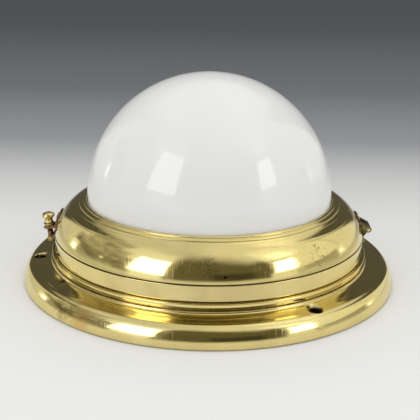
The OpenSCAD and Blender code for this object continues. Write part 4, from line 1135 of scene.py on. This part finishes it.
class LAMP_OT_wiring(bpy.types.Operator):
    """Makes the two leads, and finishes the back plate, lampholder, terminal block, seals and screws"""

    bl_idname = "lamp.wiring"
    bl_label = "Wiring and back plate"

    def execute(self, context):
        colours = context.scene.lamp_colours
        radius = context.scene.lamp_sizes.lead_radius / MM - LEAD_CLEARANCE
        turn = np.radians(np.arange(208, 341, 12))
        bend_r, bend_z = NEUTRAL_BEND
        bend = np.stack([bend_r * np.cos(turn), bend_r * np.sin(turn), np.full(len(turn), bend_z)], 1)
        neutral_path = np.concatenate([NEUTRAL_START, bend, NEUTRAL_END])
        for name, path, tone, fleck, slot in (
            ("live_lead", LIVE_PATH, colours.live, (0.55, 0.14, 0.08), "red_lead"),
            ("neutral_lead", neutral_path, colours.neutral, (0.10, 0.095, 0.085), "black_lead"),
        ):
            lead = piped(smooth_path(path, 6), radius, 20)
            lead[3][:, 0] *= MM
            cotton = braided_lead(name + "_finish", tone, fleck)
            make_piece(name + "_braided", lead, cotton, "base", (name,))
        paint(glazed("enamel_finish", colours.enamel, (0.05, 0.04, 0.03), 0.16), "back_plate")
        porcelain = glazed("porcelain_finish", colours.porcelain, (0.25, 0.17, 0.10), 0.2)
        paint(porcelain, "lampholder_body", "terminal_block")
        zinc = plated_steel("zinc_finish", colours.zinc)
        paint(zinc, "plate_screws", "plate_nuts", "lampholder_screws", "block_screw")
        paint(rubber("rubber_finish", colours.rubber), "cable_grommet", "glass_gasket")
        paint(felt("felt_finish", colours.felt), "bezel_seal")
        return {"FINISHED"}


# the photograph's camera: its eye, its aim off the lamp's foot (radians to the right and up), its roll in
# radians, its focal length and its frame in pixels, and a sensor of the usual width
CAMERA_AT = (0.0, -789.4, 308.9)
CAMERA_AIM = (0.0009, 0.0614)
CAMERA_ROLL = 0.0143
FOCAL = 1000.0
FRAME = 420.0
SENSOR = 36.0

# walls and panels of the studio as the brass sees them, each as azimuths from the camera's side towards +x,
# elevations, softness of the edges, brightness, and lean (degrees of azimuth for one of elevation) where there
# is one; later ones lie over earlier ones
WALLS = (
    ((-119, -60), (8, 53), 6, (0.40, 0.385, 0.34)),
    ((-119, -60), (9, 20), 6, (0.25, 0.24, 0.19)),
    ((69, 113), (5, 62), 5, (0.88, 0.875, 0.83)),
    ((71, 109), (4, 13), 4, (0.40, 0.39, 0.33)),
    ((-33, -20), (8, 56), 6, (0.28, 0.265, 0.19)),
)
# the dark room behind the camera, darkest just over the horizon
ROOM = (
    ((-25, 49), (6, 100), 5, (0.125, 0.115, 0.07)),
    ((2, 34), (8, 23), 7, (0.055, 0.052, 0.035)),
)
PANELS = (
    ((-84, -30), (43, 63), 9, (0.84, 0.84, 0.82)),
    ((-70, -33), (33, 55), 7, (0.92, 0.92, 0.90)),
    ((50, 90), (40, 66), 8, (1.05, 1.05, 1.02)),
    ((100, 158), (54, 71), 9, (1.12, 1.12, 1.08)),
    ((-59, -33), (-4, 15), 4, (0.98, 0.97, 0.92)),
    ((46, 66), (-4, 14), 4, (0.88, 0.87, 0.82)),
    ((-60.5, -31.5), (12, 45), 1.4, (3.4, 3.4, 3.35)),
    ((49, 67), (14, 36.5), 1.3, (3.6, 3.6, 3.55), 0.22),
    ((59, 79), (42, 55), 5, (1.6, 1.6, 1.55)),
    ((-120, -111), (-20, 14), 5, (1.0, 1.0, 0.96)),
    ((108, 117), (-20, 13), 5, (0.98, 0.98, 0.95)),
    ((-116.5, -112.5), (1, 8), 1.5, (3.2, 3.2, 3.1)),
    ((110, 113.5), (3, 7.5), 1.5, (2.2, 2.2, 2.1)),
    ((-86.5, -82.5), (12.5, 17.0), 1.2, (0.8, 0.8, 0.76)),
)

# how the light on the floor falls off behind the lamp: place from 0.1 m in front of its axis, in steps of 2 m
FALL_OFF = (
    (0.0, (1.0, 1.0, 1.0)), (0.115, (0.88, 0.88, 0.88)), (0.19, (0.68, 0.68, 0.69)),
    (0.28, (0.33, 0.34, 0.365)), (0.45, (0.168, 0.18, 0.20)), (0.8, (0.086, 0.093, 0.104)),
    (1.0, (0.075, 0.081, 0.09)),
)


# turns from the camera's side over which the low walls and the slanting edge above them begin
LOW_WALL = (112, 116)
WALL_EDGE = (112, 120)
SLANT = (147, 151)

# floor (metres): its reach, how far it lies under the lamp, and the slopes of the pale sides' edges
FLOOR_X = (-3, 3)
FLOOR_Y = (-2, 4)
FLOOR_POINTS = 9
FLOOR_Z = -0.0004
WEDGE = 0.3
PICTURE = 0.25

# soft lamp overhead (metres)
FILL_AT = (0.0, -0.3, 1.6)
FILL_WIDTH = 1.8


class Sky(Graph):
    """The world's tree. A direction is an azimuth from the camera's side towards +x and an elevation."""

    def __init__(self, world):
        super().__init__(world)
        self.x, self.y, self.z = self.parts(self.add("TexCoord", None, "Generated"))
        self.azimuth = self.math("DEGREES", self.math("ARCTAN2", self.x, self.y * -1.0))
        self.elevation = self.math("DEGREES", self.math("ARCSINE", self.z))

    def patch(self, azimuths, elevations, soft, lean=0.0):
        """1 for directions inside a panel, fading over soft at its edges."""
        azimuth = self.azimuth - (self.elevation - elevations[0]) * lean if lean else self.azimuth
        across, up = (
            self.band(place, sum(ends) / 2, (ends[1] - ends[0]) / 2 - soft / 2, soft)
            for place, ends in ((azimuth, azimuths), (self.elevation, elevations)))
        return across * up

    def lay(self, light, panels):
        """Lays panels of light over what there is."""
        for azimuths, elevations, soft, tone, *lean in panels:
            light = self.blend(self.patch(azimuths, elevations, soft, *lean), light, tone)
        return light


def unit(v):
    return v / np.linalg.norm(v)


class LAMP_OT_stage(bpy.types.Operator):
    """Makes the camera, the pale floor and the studio's soft light"""

    bl_idname = "lamp.stage"
    bl_label = "Stage"

    def execute(self, context):
        studio = context.scene.lamp_studio
        context.scene.view_settings.view_transform = "Standard"
        self.camera(context)
        self.floor(studio)
        self.room(context, studio)
        self.fill(studio)
        return {"FINISHED"}

    def camera(self, context):
        """Pinhole camera of 1000 pixels' focal length on a 420-pixel frame, where the photograph's stood."""
        to_lamp = unit(-np.array(CAMERA_AT))
        side = unit(np.cross(to_lamp, [0, 0, 1]))
        ahead = unit(to_lamp + CAMERA_AIM[0] * side + CAMERA_AIM[1] * np.cross(side, to_lamp))
        right = unit(np.cross(ahead, [0, 0, 1]))
        up = np.cross(right, ahead)
        c, s = np.cos(CAMERA_ROLL), np.sin(CAMERA_ROLL)
        right, up = c * right + s * up, -s * right + c * up
        data = bpy.data.cameras.new("photo_camera")
        data.sensor_width = SENSOR
        data.lens = FOCAL / FRAME * SENSOR
        pose = Matrix(np.stack([right, up, -ahead], 1).tolist()).to_4x4()
        pose.translation = Vector(CAMERA_AT) * MM
        camera = put("photo_camera", data)
        camera.matrix_world = pose
        context.scene.camera = camera

    def floor(self, studio):
        """A wide sheet just under z = 0, with its edge far outside the picture, whose light falls off behind
        the lamp. It is laid out as a grid of x and y."""
        f = Finish("floor_finish")
        across, back, _ = f.parts(f.place)
        tone = f.ramp((back + 0.1) / 2.0, FALL_OFF)
        # the dark part is a wedge behind the lamp; beside it the floor stays pale
        beside = abs(across) - (back + 0.8) * WEDGE
        tone = f.blend(f.ease(beside, 0.02, 0.25), tone, (0.80, 0.80, 0.79))
        # and outside the picture it is a little darker: painted shade
        outside = abs(across) - (back + 0.8) * PICTURE
        tone = f.blend(f.ease(outside, 0.03, 0.2), tone, (0.84, 0.84, 0.83), "MULTIPLY")
        tone = f.blend(1.0, tone, studio.floor, "MULTIPLY")
        tone = f.blend(f.noise(300, 4) * 0.04, tone, (0.5, 0.5, 0.5), "MULTIPLY")
        n = FLOOR_POINTS
        x, y = np.meshgrid(np.linspace(*FLOOR_X, n), np.linspace(*FLOOR_Y, n))
        points = np.stack([x.ravel(), y.ravel(), np.full(x.size, FLOOR_Z)], 1)
        k = (np.arange(n - 1)[:, None] + n * np.arange(n - 1)).ravel()
        mesh = bpy.data.meshes.new("floor")
        mesh.from_pydata(points.tolist(), [], np.stack([k, k + 1, k + n + 1, k + n], 1).tolist())
        mesh.materials.append(f.close(tone, 0.8, None, {"Specular IOR Level": 0.15}))
        floor = put("floor", mesh)

    def room(self, context, studio):
        """World light. Polished surfaces see the walls, panels and ceiling of a small studio, each a soft-edged
        patch of directions; matt surfaces are lit by one even, soft light."""
        world = bpy.data.worlds.new("studio")
        context.scene.world = world
        world.cycles.sampling_method = "NONE"
        f = Sky(world)
        x, y, z = f.x, f.y, f.z
        turn = abs(f.azimuth)
        right = f.ease(x, -0.12, 0.12)
        # dark backdrop, and the low walls before it with their slanting edge
        light = f.blend(f.ease(turn, 138, 150), (0.38, 0.37, 0.33), (0.05, 0.048, 0.042))
        slant = turn + f.elevation * 0.72
        low_wall = f.ease(turn, *LOW_WALL) * f.ease(slant, *SLANT, 1.0, 0.0)
        over_it = f.blend(f.ease(turn, *WALL_EDGE), light, (0.09, 0.086, 0.075))
        light = f.blend(f.ease(slant, *SLANT), light, over_it)
        light = f.blend(low_wall, light, f.blend(right, (0.65, 0.64, 0.60), (0.80, 0.79, 0.74)))
        light = f.lay(light, WALLS)
        clutter = f.ease(f.noise(6.5, 4, 0.6, f.join(x, y, z)), 0.32, 0.68, 0.6, 1.3)
        light = f.blend(f.patch((-123, -56), (4, 57), 6), light, f.join(clutter, clutter, clutter), "MULTIPLY")
        # paler wall above the backdrop
        edge = f.most((145.0 - turn) * 0.5, 0.0) + 33.0
        above = f.ease(f.elevation - edge, -2, 4) * f.ease(turn, *WALL_EDGE)
        light = f.blend(above, light, f.blend(right, (0.42, 0.41, 0.38), (0.74, 0.73, 0.70)))
        light = f.lay(light, ROOM)
        # ceiling: position on a level plane overhead, in units of its height
        over = f.most(z, 0.02)
        side, front = x / over, y * -1.0 / over
        ceiling = f.ease(front - side * 0.35, 0.2, 0.95, 1.0, 0.0) * f.ease(abs(side), 0.58, 0.85, 1.0, 0.0)
        ceiling = ceiling * f.ease(front, -0.95, -0.75)
        light = f.blend(ceiling, light, f.blend(right, (0.66, 0.655, 0.64), (0.80, 0.795, 0.78)))
        # the floor's glow up to the horizon
        low = f.ease(f.elevation, 1, 7, 1.0, 0.0) * f.ease(turn, 108, 116, 1.0, 0.0)
        light = f.blend(low, light, f.blend(f.ease(turn, 70, 110), (0.68, 0.68, 0.66), (0.42, 0.42, 0.38)))
        light = f.lay(light, PANELS)
        glow = f.add("Background", {"Color": light, "Strength": studio.room})
        even = f.add("Background", {"Color": (1.0, 1.0, 0.985, 1.0), "Strength": studio.even})
        matt = f.add("LightPath", None, "Is Diffuse Ray")
        f.node("OutputWorld", {"Surface": f.add("MixShader", {0: matt, 1: glow, 2: even})})

    def fill(self, studio):
        """A large soft lamp over the scene. It shades matt surfaces gently and doesn't show in the brass."""
        data = bpy.data.lights.new("fill_over", "AREA")
        data.shape = "DISK"
        data.size = FILL_WIDTH
        data.energy = studio.fill
        lamp = put("fill_over", data)
        lamp.location = FILL_AT
        lamp.visible_camera = False
        lamp.visible_glossy = False


class LAMP_PT_panel(bpy.types.Panel):
    """The lamp's pieces, sizes and colours in the 3D view's sidebar"""

    bl_idname = "LAMP_PT_panel"
    bl_label = "Brass ceiling lamp"
    bl_space_type = "VIEW_3D"
    bl_region_type = "UI"
    bl_category = "Lamp"

    def draw(self, context):
        layout = self.layout
        for operator in OPERATORS:
            layout.operator(operator.bl_idname)
        for title, group in (("Sizes", context.scene.lamp_sizes), ("Colours", context.scene.lamp_colours),
                             ("Studio", context.scene.lamp_studio)):
            box = layout.box()
            box.label(text=title)
            for key in group.__annotations__:
                box.prop(group, key)


OPERATORS = (
    LAMP_OT_flange, LAMP_OT_drum, LAMP_OT_bezel, LAMP_OT_globe, LAMP_OT_catch, LAMP_OT_bulb, LAMP_OT_wiring,
    LAMP_OT_stage,
)
CLASSES = (LampSizes, LampColours, LampStudio) + OPERATORS + (LAMP_PT_panel,)


def register():
    for cls in CLASSES:
        bpy.utils.register_class(cls)
    bpy.types.Scene.lamp_sizes = PointerProperty(type=LampSizes)
    bpy.types.Scene.lamp_colours = PointerProperty(type=LampColours)
    bpy.types.Scene.lamp_studio = PointerProperty(type=LampStudio)


def unregister():
    del bpy.types.Scene.lamp_studio
    del bpy.types.Scene.lamp_colours
    del bpy.types.Scene.lamp_sizes
    for cls in reversed(CLASSES):
        bpy.utils.unregister_class(cls)


def main():
    register()
    bpy.ops.lamp.flange()
    bpy.ops.lamp.drum()
    bpy.ops.lamp.bezel()
    bpy.ops.lamp.globe()
    bpy.ops.lamp.catch()
    bpy.ops.lamp.bulb()
    bpy.ops.lamp.wiring()
    bpy.ops.lamp.stage()


if __name__ == "__main__":
    main()
